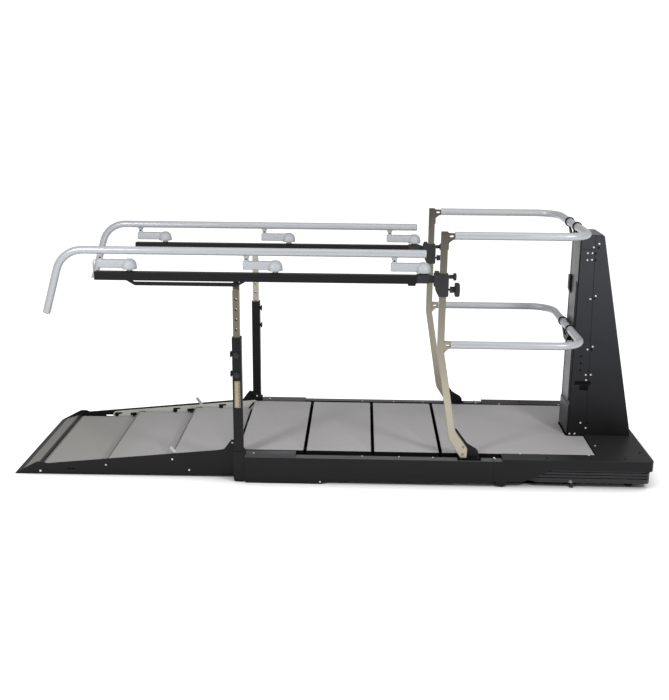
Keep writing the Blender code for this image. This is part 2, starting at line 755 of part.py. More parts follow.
# Front posts
def make_post_tubes():
    half = POST_SIZE / 2
    room = half - POST_WALL
    for name, side in SIDES:
        y = side * POST_Y
        top = POST_TOPS[name]
        tube = box((POST_X - half, y - half, 0.002), (POST_X + half, y + half, top))
        bracket = bent(
            [
                (POST_X - half - BRACKET_SKIN, 0.0),
                (BRACKET_END, 0.0),
                (BRACKET_END, BRACKET_TOP),
                (POST_X - half - BRACKET_SKIN, BRACKET_TOP),
            ],
            [0.018, 0.018, 0.004, 0.004],
        )
        skin = half + BRACKET_SKIN
        bracket_solid = plate("XZ", bracket, (y - skin, y + skin))
        gusset = bent(
            [
                (1.060, 0.020),
                (BRACKET_END - 0.002, 0.020),
                (BRACKET_END - 0.002, 0.148),
                (1.166, 0.195),
                (1.118, 0.199),
                (1.080, 0.150),
                (1.060, 0.142),
            ],
            [0.008, 0, 0.006, 0.008, 0.006, 0.010, 0.006],
        )
        gusset_solid = plate("XZ", gusset, (side * (PLATE_OUT + SEAT), side * (PLATE_OUT + SEAT + GUSSET + 0.001)))
        bore = box((POST_X - room, y - room, 0.020), (POST_X + room, y + room, top + 0.01))
        window = side_box(side, (POST_X - 0.0150, POST_X + 0.0150), (POST_Y + room - 0.004, POST_Y + half + 0.004), WINDOW)
        cuts = [bore, window]
        for z in POST_KNOBS[name]:
            outward = POST_X + side * half
            start = (outward - side * (POST_WALL + 0.004), y, z)
            cuts.append(rod(start, (outward + side * 0.004, y, z), 0.0055, sides=12))
        node(f"post_tube_{name}", tube, "black", add=[bracket_solid, gusset_solid], cut=cuts)


def make_post_inners():
    half = INNER_SIZE / 2
    room = half - INNER_WALL
    for name, side in SIDES:
        y = side * POST_Y
        tube = box((POST_X - half, y - half, INNER_LOW), (POST_X + half, y + half, INNER_TOP))
        dome = [(POST_X - half, INNER_TOP - 0.002), (POST_X + half, INNER_TOP - 0.002)]
        dome += [
            (POST_X + half * math.cos(a), INNER_TOP + 0.006 + half * math.sin(a))
            for a in (math.pi * i / 10 for i in range(11))
        ]
        cap = plate("XZ", dome, (y - half + 0.0002, y + half - 0.0002))
        head_z = BEAM_LOW - 0.0005 - half
        head = [(POST_X - half, INNER_TOP), (POST_X + half, INNER_TOP)]
        head += [
            (POST_X + half * math.cos(a), head_z + half * math.sin(a))
            for a in (math.pi * i / 10 for i in range(11))
        ]
        head_plate = plate("XZ", head, (side * (POST_Y - half + 0.0004), side * (POST_Y - 0.001)))
        bore = box((POST_X - room, y - room, INNER_LOW - 0.01), (POST_X + room, y + room, INNER_TOP - 0.006))
        holes = []
        for i in range(9):
            z = INNER_TOP - 0.032 - i * HOLE_PITCH
            holes.append(rod((POST_X, y - half - 0.01, z), (POST_X, y + half + 0.01, z), HOLE_RADIUS, sides=12))
        node(f"post_inner_{name}", tube, "bronze", add=[cap, head_plate], cut=[bore, *holes])


def knob_parts(x, y, z, outward, stem, hub, head, neck=SEAT, lobes=False):
    """A hand knob on an X axis: stem into the hole, bare neck, hub, and a head with a rounded rim."""
    parts = [rod((x - outward * stem[1], y, z), (x + outward * (neck + 0.003), y, z), stem[0], sides=12)]
    hub_end = x + outward * hub[1]
    parts.append(rod((x + outward * neck, y, z), (hub_end, y, z), hub[0], hub[0] * 0.85))
    head_end = hub_end + outward * head[1]
    if lobes:
        count, steps = 6, 48
        ring = []
        for i in range(steps):
            angle = 2 * math.pi * i / steps
            reach = head[0] * (1 - 0.09 * (1 - math.cos(count * angle)) / 2)
            ring.append((y + reach * math.cos(angle), z + reach * math.sin(angle)))
        parts.append(plate("YZ", ring, (hub_end - outward * 0.001, head_end)))
    else:
        parts.append(rod((hub_end - outward * 0.001, y, z), (head_end, y, z), head[0], head[0] * 0.85, sides=24))
    return parts


def make_post_knobs():
    for name, side in SIDES:
        face = POST_X + side * POST_SIZE / 2
        for i, z in enumerate(POST_KNOBS[name], 1):
            y = side * POST_Y
            parts = knob_parts(face, y, z, side, (0.005, POST_WALL), (0.009, 0.004), (0.016, 0.008))
            node(f"post_knob_{name}_{i}", parts[0], "plastic", add=parts[1:], origin=(face, y, z))


# Treads, platform and lift frame
def support_pad(side, x, top):
    bottom = PIVOT_HEIGHT + BAR_HEIGHT / 2 + PAD_CLEAR
    y = (BAR_IN, BAR_IN + BAR_THICK)
    block = side_box(side, (x - PAD_RADIUS, x + PAD_RADIUS), y, (bottom + PAD_RADIUS, top))
    centre = bottom + PAD_RADIUS
    foot = rod((x, side * y[0], centre), (x, side * y[1], centre), PAD_RADIUS - 0.0001, sides=16)
    return [block, foot]


def make_treads():
    for i, front in enumerate(TREAD_FRONTS, 1):
        rear = front + TREAD_DEPTH
        low = TREAD_TOP - TREAD_EDGE
        slab = box((front, -TREAD_HALF, low), (rear, TREAD_HALF, TREAD_TOP))
        ceiling = TREAD_TOP - TREAD_SKIN
        middle = (front + rear) / 2
        pockets = [
            box((front + 0.004, -TREAD_HALF + 0.004, low - 0.01), (middle - 0.012, TREAD_HALF - 0.004, ceiling)),
            box((middle + 0.012, -TREAD_HALF + 0.004, low - 0.01), (rear - 0.004, TREAD_HALF - 0.004, ceiling)),
        ]
        riser = box(
            (front + 0.0002, -RISER_HALF, FLOOR_CLEAR), (front + RISER_THICK, RISER_HALF, TREAD_TOP - 0.002)
        )
        fold = box(
            (front + 0.0002, -RISER_HALF, FLOOR_CLEAR), (front + 0.014, RISER_HALF, FLOOR_CLEAR + RISER_THICK)
        )
        body = node(f"tread_{i}", slab, "vinyl", cut=pockets)
        extra = [riser, fold]
        for _, side in SIDES:
            extra += support_pad(side, PIVOT_X + i * SUPPORT_PITCH, TREAD_TOP - 0.001)
        combine(body, extra, "UNION")


def make_platform_deck():
    outline = [
        (DECK_FRONT, -TREAD_HALF),
        (DECK_END, -TREAD_HALF),
        (DECK_END, -NOTCH_HALF),
        (NOTCH_START + NOTCH_CHAMFER, -NOTCH_HALF),
        (NOTCH_START, -NOTCH_HALF + NOTCH_CHAMFER),
        (NOTCH_START, -MAST_HALF),
        (MAST_FACE - SEAT, -MAST_HALF),
        (MAST_FACE - SEAT, MAST_HALF),
        (NOTCH_START, MAST_HALF),
        (NOTCH_START, NOTCH_HALF - NOTCH_CHAMFER),
        (NOTCH_START + NOTCH_CHAMFER, NOTCH_HALF),
        (DECK_END, NOTCH_HALF),
        (DECK_END, TREAD_HALF),
        (DECK_FRONT, TREAD_HALF),
    ]
    low = TREAD_TOP - DECK_EDGE
    slab = plate("XY", outline, (low, TREAD_TOP))
    ceiling = DECK_CEILING
    inside = TREAD_HALF - 0.005
    pockets = []
    for start, end in ((DECK_FRONT + 0.005, 2.390), (2.460, 2.640), (2.660, NOTCH_START - 0.012)):
        pockets.append(box((start, -inside, low - 0.01), (end, inside, ceiling)))
    for _, side in SIDES:
        pockets.append(
            side_box(side, (NOTCH_START, DECK_END - 0.005), (NOTCH_HALF + 0.006, inside), (low - 0.01, ceiling))
        )
    body = node("platform_deck", slab, "vinyl", cut=pockets)
    extra = [
        box((DECK_FRONT + 0.0002, -RISER_HALF, FLOOR_CLEAR), (DECK_FRONT + RISER_THICK, RISER_HALF, TREAD_TOP - 0.002)),
        box((DECK_FRONT + 0.0002, -RISER_HALF, FLOOR_CLEAR), (DECK_FRONT + 0.014, RISER_HALF, FLOOR_CLEAR + 0.003)),
    ]
    inner_face = POST_Y - UPRIGHT_DEEP / 2 - SEAT
    for _, side in SIDES:
        extra += support_pad(side, PIVOT_X + 4 * SUPPORT_PITCH, ceiling + 0.002)
        extra.append(side_box(side, (2.262, 2.366), (TREAD_HALF - 0.006, POST_Y + 0.012), (0.1255, TREAD_TOP - SEAT)))
        gusset = bent(
            [
                (2.262, 0.1265),
                (2.366, 0.1265),
                (2.361, 0.170),
                (2.350, 0.184),
                (2.304, 0.212),
                (2.246, 0.290),
                (2.232, 0.284),
                (2.262, 0.200),
            ],
            [0, 0, 0.006, 0.010, 0.012, 0.005, 0.005, 0.006],
            3,
        )
        extra.append(plate("XZ", gusset, (side * (inner_face - 0.006), side * inner_face)))
    combine(body, extra, "UNION")


def make_lift_frame():
    low, high = PIVOT_HEIGHT - BAR_HEIGHT / 2, PIVOT_HEIGHT + BAR_HEIGHT / 2
    end = PIVOT_X + BAR_LENGTH
    radius = BAR_HEIGHT / 2
    bars = []
    for _, side in SIDES:
        outline = [(end, low), (end, high)]
        outline += [
            (PIVOT_X + radius * math.cos(a), PIVOT_HEIGHT + radius * math.sin(a))
            for a in (math.pi / 2 + math.pi * i / 12 for i in range(13))
        ]
        hole = circle(PIVOT_X, PIVOT_HEIGHT, PIVOT_PIN + PIN_CLEAR, 20)
        bars.append(plate("XZ", outline, (side * BAR_IN, side * (BAR_IN + BAR_THICK)), [hole]))
    reach = BAR_IN + 0.004
    for x in (PIVOT_X + 0.150, end - 0.030):
        bars.append(box((x - 0.012, -reach, low + 0.002), (x + 0.012, reach, high - 0.004)))
    node("lift_frame", bars[0], "black", add=bars[1:], origin=(PIVOT_X, 0.0, PIVOT_HEIGHT))


# Uprights, guard rails and saddles
def make_uprights():
    half = UPRIGHT_WIDE / 2
    left, right = UPRIGHT_X - half, UPRIGHT_X + half
    outline = [
        (left, UPRIGHT_TOP),
        (left, 0.690),
        (2.209, 0.240),
        (2.262, 0.156),
        (2.268, TREAD_TOP),
        (2.303, TREAD_TOP),
        (2.304, 0.190),
        (2.296, 0.205),
        (2.240, 0.285),
        (right, 0.692),
        (right, UPRIGHT_TOP),
    ]
    outline = bent(outline, [0.004, 0.100, 0.060, 0.008, 0, 0, 0.010, 0.012, 0.060, 0.100, 0.004], 4)
    for name, side in SIDES:
        deep = UPRIGHT_DEEP / 2
        y = side * POST_Y
        body = plate("XZ", outline, (y - deep, y + deep))
        lugs = []
        for level, (above, below) in LUG_SPANS.items():
            end, z = GUARD_STARTS[level] - SEAT, GUARD_HEIGHTS[level]
            lug = bent(
                [
                    (right - 0.004, z + above),
                    (end, z + above - 0.002),
                    (end, z - 0.017),
                    (end - 0.010, z - 0.020),
                    (right + 0.004, z - 0.034),
                    (right + 0.004, z - below),
                    (right - 0.004, z - below - 0.004),
                ],
                [0, 0.002, 0.002, 0.010, 0.008, 0.002, 0],
                3,
            )
            eye = slot((right + 0.011, z - 0.003), (end - 0.009, z - 0.003), 0.0052, 5)
            lugs.append(plate("XZ", lug, (y - 0.0105, y + 0.0105), [eye]))
        node(f"upright_{name}", body, "champagne", add=lugs)


def make_guard_rails():
    for level, z in GUARD_HEIGHTS.items():
        start = GUARD_STARTS[level]
        corners = [(start, -POST_Y, z), (GUARD_REAR, -POST_Y, z), (GUARD_REAR, POST_Y, z), (start, POST_Y, z)]
        path = bent(corners, GUARD_BEND, 8, closed=False)
        node(f"guard_rail_{level}", pipe(path, TUBE, 6), "silver", smooth=True)


def make_saddles():
    inner, outer = TUBE + SEAT, TUBE + 0.006
    reach, foot = RING_Y + RING_HALF - 0.0005, 0.030
    for level, z in GUARD_HEIGHTS.items():
        yoke = [
            (-reach, z - 0.0220),
            (-foot, z - YOKE_DROP),
            (foot, z - YOKE_DROP),
            (reach, z - 0.0220),
            (reach - 0.018, z - 0.0216),
            (foot * 0.5, z - YOKE_DROP + 0.026),
            (-foot * 0.5, z - YOKE_DROP + 0.026),
            (-reach + 0.018, z - 0.0216),
        ]
        yoke = bent(yoke, [0, 0.010, 0.010, 0, 0, 0.006, 0.006, 0], 3)
        body = plate("YZ", yoke, (GUARD_REAR - 0.004, GUARD_REAR + 0.005))
        low, high = z - YOKE_DROP + 0.0015, z - YOKE_DROP + 0.020
        arm = box((GUARD_REAR - 0.002, -foot + 0.004, low), (TOWER_FRONT + 0.001 - SEAT, foot - 0.004, high))
        rings, bores = [arm], []
        for _, side in SIDES:
            y = side * RING_Y
            rings.append(rod((GUARD_REAR, y - RING_HALF, z), (GUARD_REAR, y + RING_HALF, z), outer, sides=24))
            bores.append(rod((GUARD_REAR, y - 0.03, z), (GUARD_REAR, y + 0.03, z), inner + 0.0004, sides=24))
        node(f"rail_saddle_{level}", body, "black", add=rings, cut=bores)


# Tower, mast and lift ram
def make_tower():
    outline = [
        (TOWER_FRONT, TOWER_LOW),
        (TOWER_REAR, TOWER_LOW),
        (TOWER_REAR, TOWER_KNEE),
        (TOWER_TOP_REAR, TOWER_TOP),
        (TOWER_FRONT, TOWER_TOP),
    ]
    outline = bent(outline, [0, 0, 0.040, 0.004, 0.003], 5)
    inner = TOWER_HALF - TOWER_SKIN
    for name, side in SIDES:
        skin = plate("XZ", outline, (side * inner, side * TOWER_HALF))
        rib_places = (MAST_BACK + 0.0015, MAST_BACK + 0.010), (MAST_HALF + 0.004, inner + 0.002)
        rib = side_box(side, *rib_places, (0.200, MAST_TOP))
        node(f"tower_side_{name}", skin, "black", add=[rib])
    sheet = 0.003
    slope = math.atan2(TOWER_TOP - TOWER_KNEE, TOWER_REAR - TOWER_TOP_REAR)
    drop = sheet / math.sin(slope)
    cover = [
        (MAST_BACK + 0.012, TOWER_TOP),
        (TOWER_TOP_REAR - 0.006, TOWER_TOP),
        (TOWER_REAR, TOWER_KNEE),
        (TOWER_REAR, TOWER_LOW + 0.010),
        (TOWER_REAR - sheet, TOWER_LOW + 0.010),
        (TOWER_REAR - sheet, TOWER_KNEE),
        (TOWER_TOP_REAR - 0.006 - drop, TOWER_TOP - sheet),
        (MAST_BACK + 0.012, TOWER_TOP - sheet),
    ]
    half = inner - SEAT
    slot_cut = box((MAST_BACK - 0.01, -0.034, TOWER_TOP - 0.02), (ROD_X + 0.022, 0.034, TOWER_TOP + 0.01))
    node("tower_rear_cover", plate("XZ", cover, (-half, half)), "black", cut=[slot_cut])


def make_mast():
    column = box((MAST_FACE, -MAST_HALF, MAST_LOW), (MAST_BACK, MAST_HALF, MAST_TOP))
    wide = TOWER_HALF - TOWER_SKIN - 0.002
    head = box((TOWER_FRONT + 0.001, -MAST_NEAR, HEAD_LOW), (MAST_FACE + 0.006, wide, MAST_TOP - 0.0005))
    face = box((TOWER_FRONT + 0.001, -0.046, 0.160), (MAST_FACE + 0.004, wide - 0.0005, HEAD_LOW + 0.004))
    neck = box((MAST_FACE + 0.002, -0.026, MAST_TOP - 0.004), (MAST_BACK - 0.002, 0.026, TOWER_TOP + 0.002))
    lid_low = TOWER_TOP + 0.0008
    lid = box((TOWER_FRONT + 0.0015, -wide, lid_low), (TOWER_TOP_REAR - 0.006, wide, lid_low + LID_THICK))
    shoe = bent(
        [
            (TOWER_FRONT - 0.007, REAR_TOP + 0.006),
            (MAST_FACE + 0.002, REAR_TOP + 0.006),
            (MAST_FACE + 0.002, 0.330),
            (TOWER_FRONT - 0.007, 0.306),
        ],
        [0.002, 0, 0, 0.004],
        3,
    )
    shoe_solid = plate("XZ", shoe, (-wide, wide))
    arm = box((MAST_BACK - 0.010, -0.018, RAM_TOP + 0.012), (ROD_X + 0.016, 0.018, RAM_TOP + 0.040))
    node("mast", column, "silver", add=[head, face, neck, lid, shoe_solid, arm])
    front = TOWER_FRONT + 0.001 - SEAT
    hook = bent(
        [(front, 0.981), (front - 0.013, 0.981), (front - 0.013, 0.908), (front - 0.005, 0.887), (front, 0.887)],
        [0, 0.002, 0.006, 0.003, 0],
        3,
    )
    node("mast_hook", plate("XZ", hook, (0.052, 0.092)), "black")


def make_ram():
    tube = rod((ROD_X, 0.0, 0.150), (ROD_X, 0.0, RAM_TOP), RAM_RADIUS, sides=24)
    gearbox = box((MAST_BACK + 0.006, -0.036, TOWER_LOW + SEAT), (3.100, 0.036, 0.200))
    motor = rod((3.060, 0.0, 0.150), (3.060, 0.0, 0.330), 0.034, sides=24)
    bore = rod((ROD_X, 0.0, 0.235), (ROD_X, 0.0, RAM_TOP + 0.01), ROD_RADIUS + 0.0015, sides=20)
    node("actuator_body", tube, "strip", add=[gearbox, motor], cut=[bore])
    rod_solid = rod((ROD_X, 0.0, 0.240), (ROD_X, 0.0, RAM_TOP + 0.012 - SEAT), ROD_RADIUS, sides=20)
    node("actuator_rod", rod_solid, "zinc", smooth=True)


# Clamps, beams, swing arms and handrails
def make_clamps():
    outline = bent(
        [
            (CLAMP_LEFT, HINGE_Z - 0.028),
            (2.117, HINGE_Z - 0.035),
            (2.118, HINGE_Z - 0.052),
            (2.132, CLAMP_LOW),
            (CLAMP_RIGHT, CLAMP_LOW),
            (CLAMP_RIGHT, CLAMP_TOP),
            (CLAMP_LEFT, CLAMP_TOP),
        ],
        [0.003, 0.004, 0.004, 0.003, 0.006, 0.006, 0.006],
        3,
    )
    for name, side in SIDES:
        y = side * POST_Y
        body = plate("XZ", outline, (y - CLAMP_HALF, y + CLAMP_HALF))
        wide, deep = UPRIGHT_WIDE / 2 + 0.0008, UPRIGHT_DEEP / 2 + 0.0008
        guide = box((UPRIGHT_X - wide, y - deep, CLAMP_LOW - 0.01), (UPRIGHT_X + wide, y + deep, CLAMP_TOP + 0.01))
        fork = box((CLAMP_LEFT - 0.01, y - 0.0085, CLAMP_LOW - 0.01), (HINGE_X + 0.0175, y + 0.0085, CLAMP_TOP + 0.01))
        holes = []
        for z in CLAMP_KNOBS.values():
            holes.append(rod((CLAMP_RIGHT - 0.006, y, z), (CLAMP_RIGHT + 0.01, y, z), 0.0055, sides=12))
        pin = rod((HINGE_X, y - 0.020, HINGE_Z), (HINGE_X, y + 0.020, HINGE_Z), 0.004, sides=16)
        cap = rod((2.1215, y, CLAMP_TOP - 0.0015), (2.1215, y, CLAMP_TOP + 0.012), 0.0125, 0.0105)
        node(
            f"rail_clamp_{name}", body, "black", cut=[guide, fork, *holes], origin=(HINGE_X, y, HINGE_Z)
        )
        combine(bpy.data.objects[f"rail_clamp_{name}"], [pin, cap], "UNION")


def make_clamp_knobs():
    for name, side in SIDES:
        y = side * POST_Y
        z = CLAMP_KNOBS["small"]
        small = knob_parts(CLAMP_RIGHT, y, z, 1, (0.005, 0.005), (0.0085, 0.0215), (0.0175, 0.0145), 0.003)
        node(f"clamp_knob_small_{name}", small[0], "plastic", add=small[1:], origin=(CLAMP_RIGHT, y, z))
        z = CLAMP_KNOBS["large"]
        large = knob_parts(CLAMP_RIGHT, y, z, 1, (0.005, 0.005), (0.0185, 0.0315), (0.036, 0.0210), 0.008, True)
        node(f"clamp_knob_large_{name}", large[0], "plastic", add=large[1:], origin=(CLAMP_RIGHT, y, z))


def arm_boss(x, y, low):
    stem = rod((x, y, low - 0.003), (x, y, low + WASHER), 0.016)
    pin = rod((x, y, low), (x, y, ARM_LOW + 0.022), 0.006, sides=16)
    return [stem, pin]


def make_beams():
    half = BEAM_SIZE / 2
    origin_x, origin_z = HINGE_X, HINGE_Z
    truss = [
        (0.630, BEAM_LOW + 0.002),
        (0.674, BEAM_LOW - 0.024),
        (1.167, BEAM_LOW - 0.024),
        (1.211, BEAM_LOW + 0.002),
        (1.190, BEAM_LOW + 0.002),
        (1.172, BEAM_LOW - 0.008),
        (0.669, BEAM_LOW - 0.008),
        (0.651, BEAM_LOW + 0.002),
    ]
    end_outline = [(HINGE_X, HINGE_Z - 0.015)]
    end_outline += [
        (HINGE_X + 0.015 * math.cos(a), HINGE_Z + 0.015 * math.sin(a))
        for a in (-math.pi / 2 + math.pi * i / 10 for i in range(1, 11))
    ]
    end_outline += [
        (HINGE_X - 0.030, SHOULDER_TOP - 0.0005),
        (BEAM_END + 0.004, SHOULDER_TOP - 0.0005),
        (BEAM_END + 0.004, SHOULDER_LOW + 0.0015),
        (HINGE_X - 0.040, SHOULDER_LOW + 0.0015),
    ]
    for name, side in SIDES:
        y = side * POST_Y
        tube = box((BEAM_START, y - half, BEAM_LOW), (BEAM_END, y + half, BEAM_TOP))
        sub_bar = plate("XZ", truss, (side * (POST_Y + 0.001), side * (POST_Y + half - 0.0005)))
        latch = box((1.986, y - 0.012, BEAM_LOW - 0.011), (2.022, y + 0.012, BEAM_LOW + 0.002))
        extra = [sub_bar, latch]
        for x in ARM_PIVOTS[:2]:
            extra += arm_boss(x, y, BEAM_TOP)
        node(f"beam_{name}", tube, "black", add=extra, origin=(origin_x, y, origin_z))
        hole = circle(HINGE_X, HINGE_Z, 0.0046, 16)
        tongue = plate("XZ", end_outline, (y - 0.008, y + 0.008), [hole])
        shoulder = box((BEAM_END + SEAT, y - 0.018, SHOULDER_LOW), (2.084, y + 0.018, SHOULDER_TOP))
        node(
            f"beam_end_{name}",
            tongue,
            "black",
            add=[shoulder, *arm_boss(ARM_PIVOTS[2], y, SHOULDER_TOP)],
            origin=(origin_x, y, origin_z),
        )


def make_swing_arms():
    for name, side in SIDES:
        y = side * POST_Y
        for i, x in enumerate(ARM_PIVOTS, 1):
            stem_x = x - ARM_REACH
            ring = slot((stem_x, y), (x, y), ARM_HALF, 8)
            body = plate("XY", ring, (ARM_LOW, ARM_TOP))
            dome = ball((x, y, ARM_TOP - 0.001), 0.0165, 0.62)
            stem = rod((stem_x, y, ARM_TOP - 0.002), (stem_x, y, HANDRAIL_Z - TUBE - SEAT), 0.014, 0.0185)
            seat = (SHOULDER_TOP if i == 3 else BEAM_TOP) + WASHER + SEAT
            cone = rod((x, y, seat), (x, y, ARM_LOW + 0.003), 0.0125, 0.0165)
            hole = rod((x, y, seat - 0.01), (x, y, ARM_LOW + 0.0235), 0.0066, sides=16)
            extra = [dome, stem, cone]
            if name == "near" and i == 1:
                edge = x - 0.1715
                hook = [
                    (stem_x - 0.004, ARM_TOP - 0.001),
                    (edge - 0.005, ARM_TOP - 0.001),
                    (edge - 0.005, ARM_LOW - 0.0365),
                    (edge - 0.017, ARM_LOW - 0.0385),
                    (edge - 0.017, ARM_LOW - 0.0555),
                    (edge, ARM_LOW - 0.0555),
                    (edge, ARM_TOP - 0.009),
                    (stem_x - 0.004, ARM_TOP - 0.009),
                ]
                extra.append(plate("XZ", hook, (y - 0.006, y + 0.006)))
            node(f"swing_arm_{name}_{i}", body, "silver", add=extra, cut=[hole], origin=(x, y, ARM_LOW))


def make_handrails():
    for name, side in SIDES:
        y = side * POST_Y
        pivot_x = ARM_PIVOTS[1] - ARM_REACH
        corners = [
            (HANDRAIL_END, y, HANDRAIL_Z),
            (HANDRAIL_CORNER, y, HANDRAIL_Z),
            (HANDRAIL_FOOT, y, HANDRAIL_Z - HANDRAIL_DROP),
        ]
        path = bent(corners, HANDRAIL_BEND, 8, closed=False)
        node(f"handrail_{name}", pipe(path, TUBE, 6), "silver", origin=(pivot_x, y, HANDRAIL_Z), smooth=True)


make_base_frame()
make_side_rails()
make_front_covers()
make_rear_cover()
make_rear_base()
make_ramp_frame()
make_ramp_nose()
make_ramp_panels()
make_ramp_links()
make_ramp_lever()
make_post_tubes()
make_post_inners()
make_post_knobs()
make_treads()
make_platform_deck()
make_lift_frame()
make_uprights()
make_guard_rails()
make_saddles()
make_tower()
make_mast()
make_ram()
make_clamps()
make_clamp_knobs()
make_beams()
make_swing_arms()
make_handrails()
bpy.context.view_layer.update()
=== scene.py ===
"""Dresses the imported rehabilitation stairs: eased edges, tubes, castings, mats, screws and finishes."""

import json
import math

import bmesh
import bpy
import numpy as np
from mathutils import Matrix, Vector

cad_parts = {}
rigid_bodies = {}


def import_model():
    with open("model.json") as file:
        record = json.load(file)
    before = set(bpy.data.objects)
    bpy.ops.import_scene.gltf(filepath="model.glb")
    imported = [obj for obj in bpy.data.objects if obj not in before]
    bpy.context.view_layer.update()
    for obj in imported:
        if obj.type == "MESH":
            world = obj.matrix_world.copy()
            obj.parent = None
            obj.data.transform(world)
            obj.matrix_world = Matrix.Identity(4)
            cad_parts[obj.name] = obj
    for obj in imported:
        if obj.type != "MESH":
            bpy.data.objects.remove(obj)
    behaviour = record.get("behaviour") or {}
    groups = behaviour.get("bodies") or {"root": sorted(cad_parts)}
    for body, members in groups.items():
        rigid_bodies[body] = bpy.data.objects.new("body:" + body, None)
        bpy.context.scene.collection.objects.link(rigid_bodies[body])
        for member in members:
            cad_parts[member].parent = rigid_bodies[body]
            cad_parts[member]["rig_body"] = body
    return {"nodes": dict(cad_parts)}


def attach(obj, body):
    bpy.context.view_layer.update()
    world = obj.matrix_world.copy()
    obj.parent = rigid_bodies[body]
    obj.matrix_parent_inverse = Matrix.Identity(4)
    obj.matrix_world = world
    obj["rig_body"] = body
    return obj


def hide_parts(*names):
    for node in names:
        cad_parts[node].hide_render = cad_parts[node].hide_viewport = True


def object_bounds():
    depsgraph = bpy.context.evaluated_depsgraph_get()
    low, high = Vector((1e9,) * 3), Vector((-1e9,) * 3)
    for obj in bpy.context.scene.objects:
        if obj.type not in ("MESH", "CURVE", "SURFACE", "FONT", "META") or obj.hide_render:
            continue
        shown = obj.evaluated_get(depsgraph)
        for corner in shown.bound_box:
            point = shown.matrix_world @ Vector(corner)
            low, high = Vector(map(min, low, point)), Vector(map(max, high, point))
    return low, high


bl_info = {
    "name": "Rehabilitation Stairs",
    "version": (1, 0, 0),
    "blender": (4, 5, 0),
    "location": "View3D > Sidebar > Stairs",
    "description": "Builds the finished look of a set of powered rehabilitation stairs",
    "category": "Object",
}

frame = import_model()
CAD_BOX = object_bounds()
TIP = CAD_BOX[0][0]
SIDES = (("near", -1), ("far", 1))

# Places of the frame's solids, in metres: x from the ramp tip, y from the middle, z from the floor
RAIL_Y = 0.447
HANDRAIL_Z = 1.168
GUARD_HEIGHTS = {"upper": 1.257, "lower": 0.724}
GUARD_STARTS = {"upper": 2.2013, "lower": 2.2003}
POST_X = 1.159
POST_HALF = 0.0225
POST_KNOB_HEIGHTS = {"near": (0.661, 0.561), "far": (0.693, 0.592)}
TREAD_TOP = 0.144
TREAD_HALF = 0.396
PANEL_HALF = 0.385
# Front and rear of each tread
TREADS = ((1.152, 1.482), (1.496, 1.826), (1.840, 2.170))
# Front, rear and top of each ramp panel
PANELS = ((0.125, 0.455, 0.037), (0.460, 0.792, 0.068), (0.797, 1.130, 0.100))
SCREW_RADIUS = 0.0065
SCREW_HIGH = 0.0024
SCREW_SIDES = 20


# Settings shown in the panel
class StairsSettings(bpy.types.PropertyGroup):
    """Sizes that many pieces share"""

    tube_radius: bpy.props.FloatProperty(
        name="Tube radius", description="Radius of the handrails and guard rails",
        default=0.019, unit="LENGTH",
    )
    edge_ease: bpy.props.FloatProperty(
        name="Edge ease", description="Rounding on the edges of the frame parts",
        default=0.0012, unit="LENGTH",
    )
    mat_thick: bpy.props.FloatProperty(
        name="Mat thickness", description="How far the anti-slip sheet stands up",
        default=0.0012, unit="LENGTH",
    )
    screw_radius: bpy.props.FloatProperty(
        name="Screw radius", description="Radius of the domed screw heads",
        default=SCREW_RADIUS, unit="LENGTH",
    )


class StairsColours(bpy.types.PropertyGroup):
    """Colours of the main finishes"""

    black: bpy.props.FloatVectorProperty(
        name="Frame", description="Fine-textured black powder coat",
        subtype="COLOR", default=(0.0062, 0.0061, 0.0072),
    )
    silver: bpy.props.FloatVectorProperty(
        name="Rails", description="Light silver-grey satin coat",
        subtype="COLOR", default=(0.445, 0.46, 0.485),
    )
    mat: bpy.props.FloatVectorProperty(
        name="Mats", description="Grey anti-slip sheet",
        subtype="COLOR", default=(0.375, 0.365, 0.37),
    )
    upright: bpy.props.FloatVectorProperty(
        name="Uprights", description="Champagne anodised metal",
        subtype="COLOR", default=(0.37, 0.34, 0.27),
    )
    zinc: bpy.props.FloatVectorProperty(
        name="Links", description="Grey-green zinc plate",
        subtype="COLOR", default=(0.58, 0.59, 0.54),
    )


def at(x, y, z):
    """A point given from the ramp tip, in the frame's own place."""
    return np.array([x + TIP, y, z], float)


# Surfaces, each a function of two parameters
def unit(v):
    return v / np.maximum(np.linalg.norm(v, axis=-1, keepdims=True), 1e-12)


def grid_faces(rows, columns):
    """Quads of a grid that closes on itself across its columns."""
    i = np.arange(rows - 1)[:, None] * columns
    j = np.arange(columns)[None, :]
    k = (j + 1) % columns
    quads = np.stack([i + j, i + k, i + k + columns, i + j + columns], axis=-1).reshape(-1, 4)
    return quads.tolist()


def closed_grid(points):
    """A (rows, columns, 3) grid as vertices and faces, its first and last rows closed."""
    rows, columns = points.shape[:2]
    faces = grid_faces(rows, columns)
    faces.append(list(range(columns))[::-1])
    faces.append(list(range((rows - 1) * columns, rows * columns)))
    return points.reshape(-1, 3), faces


def straight(start, end):
    """A straight path of three points."""
    return [start, (start + end) / 2, end]


def rounded_path(corners, radius, steps=14):
    """Straight runs joined by arcs: each corner is a circle's arc between its two tangent points."""
    corners = np.asarray(corners, float)
    radii = np.broadcast_to(radius, (len(corners),))
    share = np.linspace(0, 1, steps)[:, None]
    runs = [corners[:1]]
    for i in range(1, len(corners) - 1):
        back, ahead = unit(corners[i - 1] - corners[i]), unit(corners[i + 1] - corners[i])
        half = math.acos(float(np.clip(back @ ahead, -1, 1))) / 2
        middle = corners[i] + unit(back + ahead) * radii[i] / math.sin(half)
        first = corners[i] + back * radii[i] / math.tan(half)
        last = corners[i] + ahead * radii[i] / math.tan(half)
        turn = math.pi - 2 * half
        arc = (first - middle) * np.sin((1 - share) * turn) + (last - middle) * np.sin(share * turn)
        runs.append(middle + arc / math.sin(turn))
    runs.append(corners[-1:])
    return np.concatenate(runs)


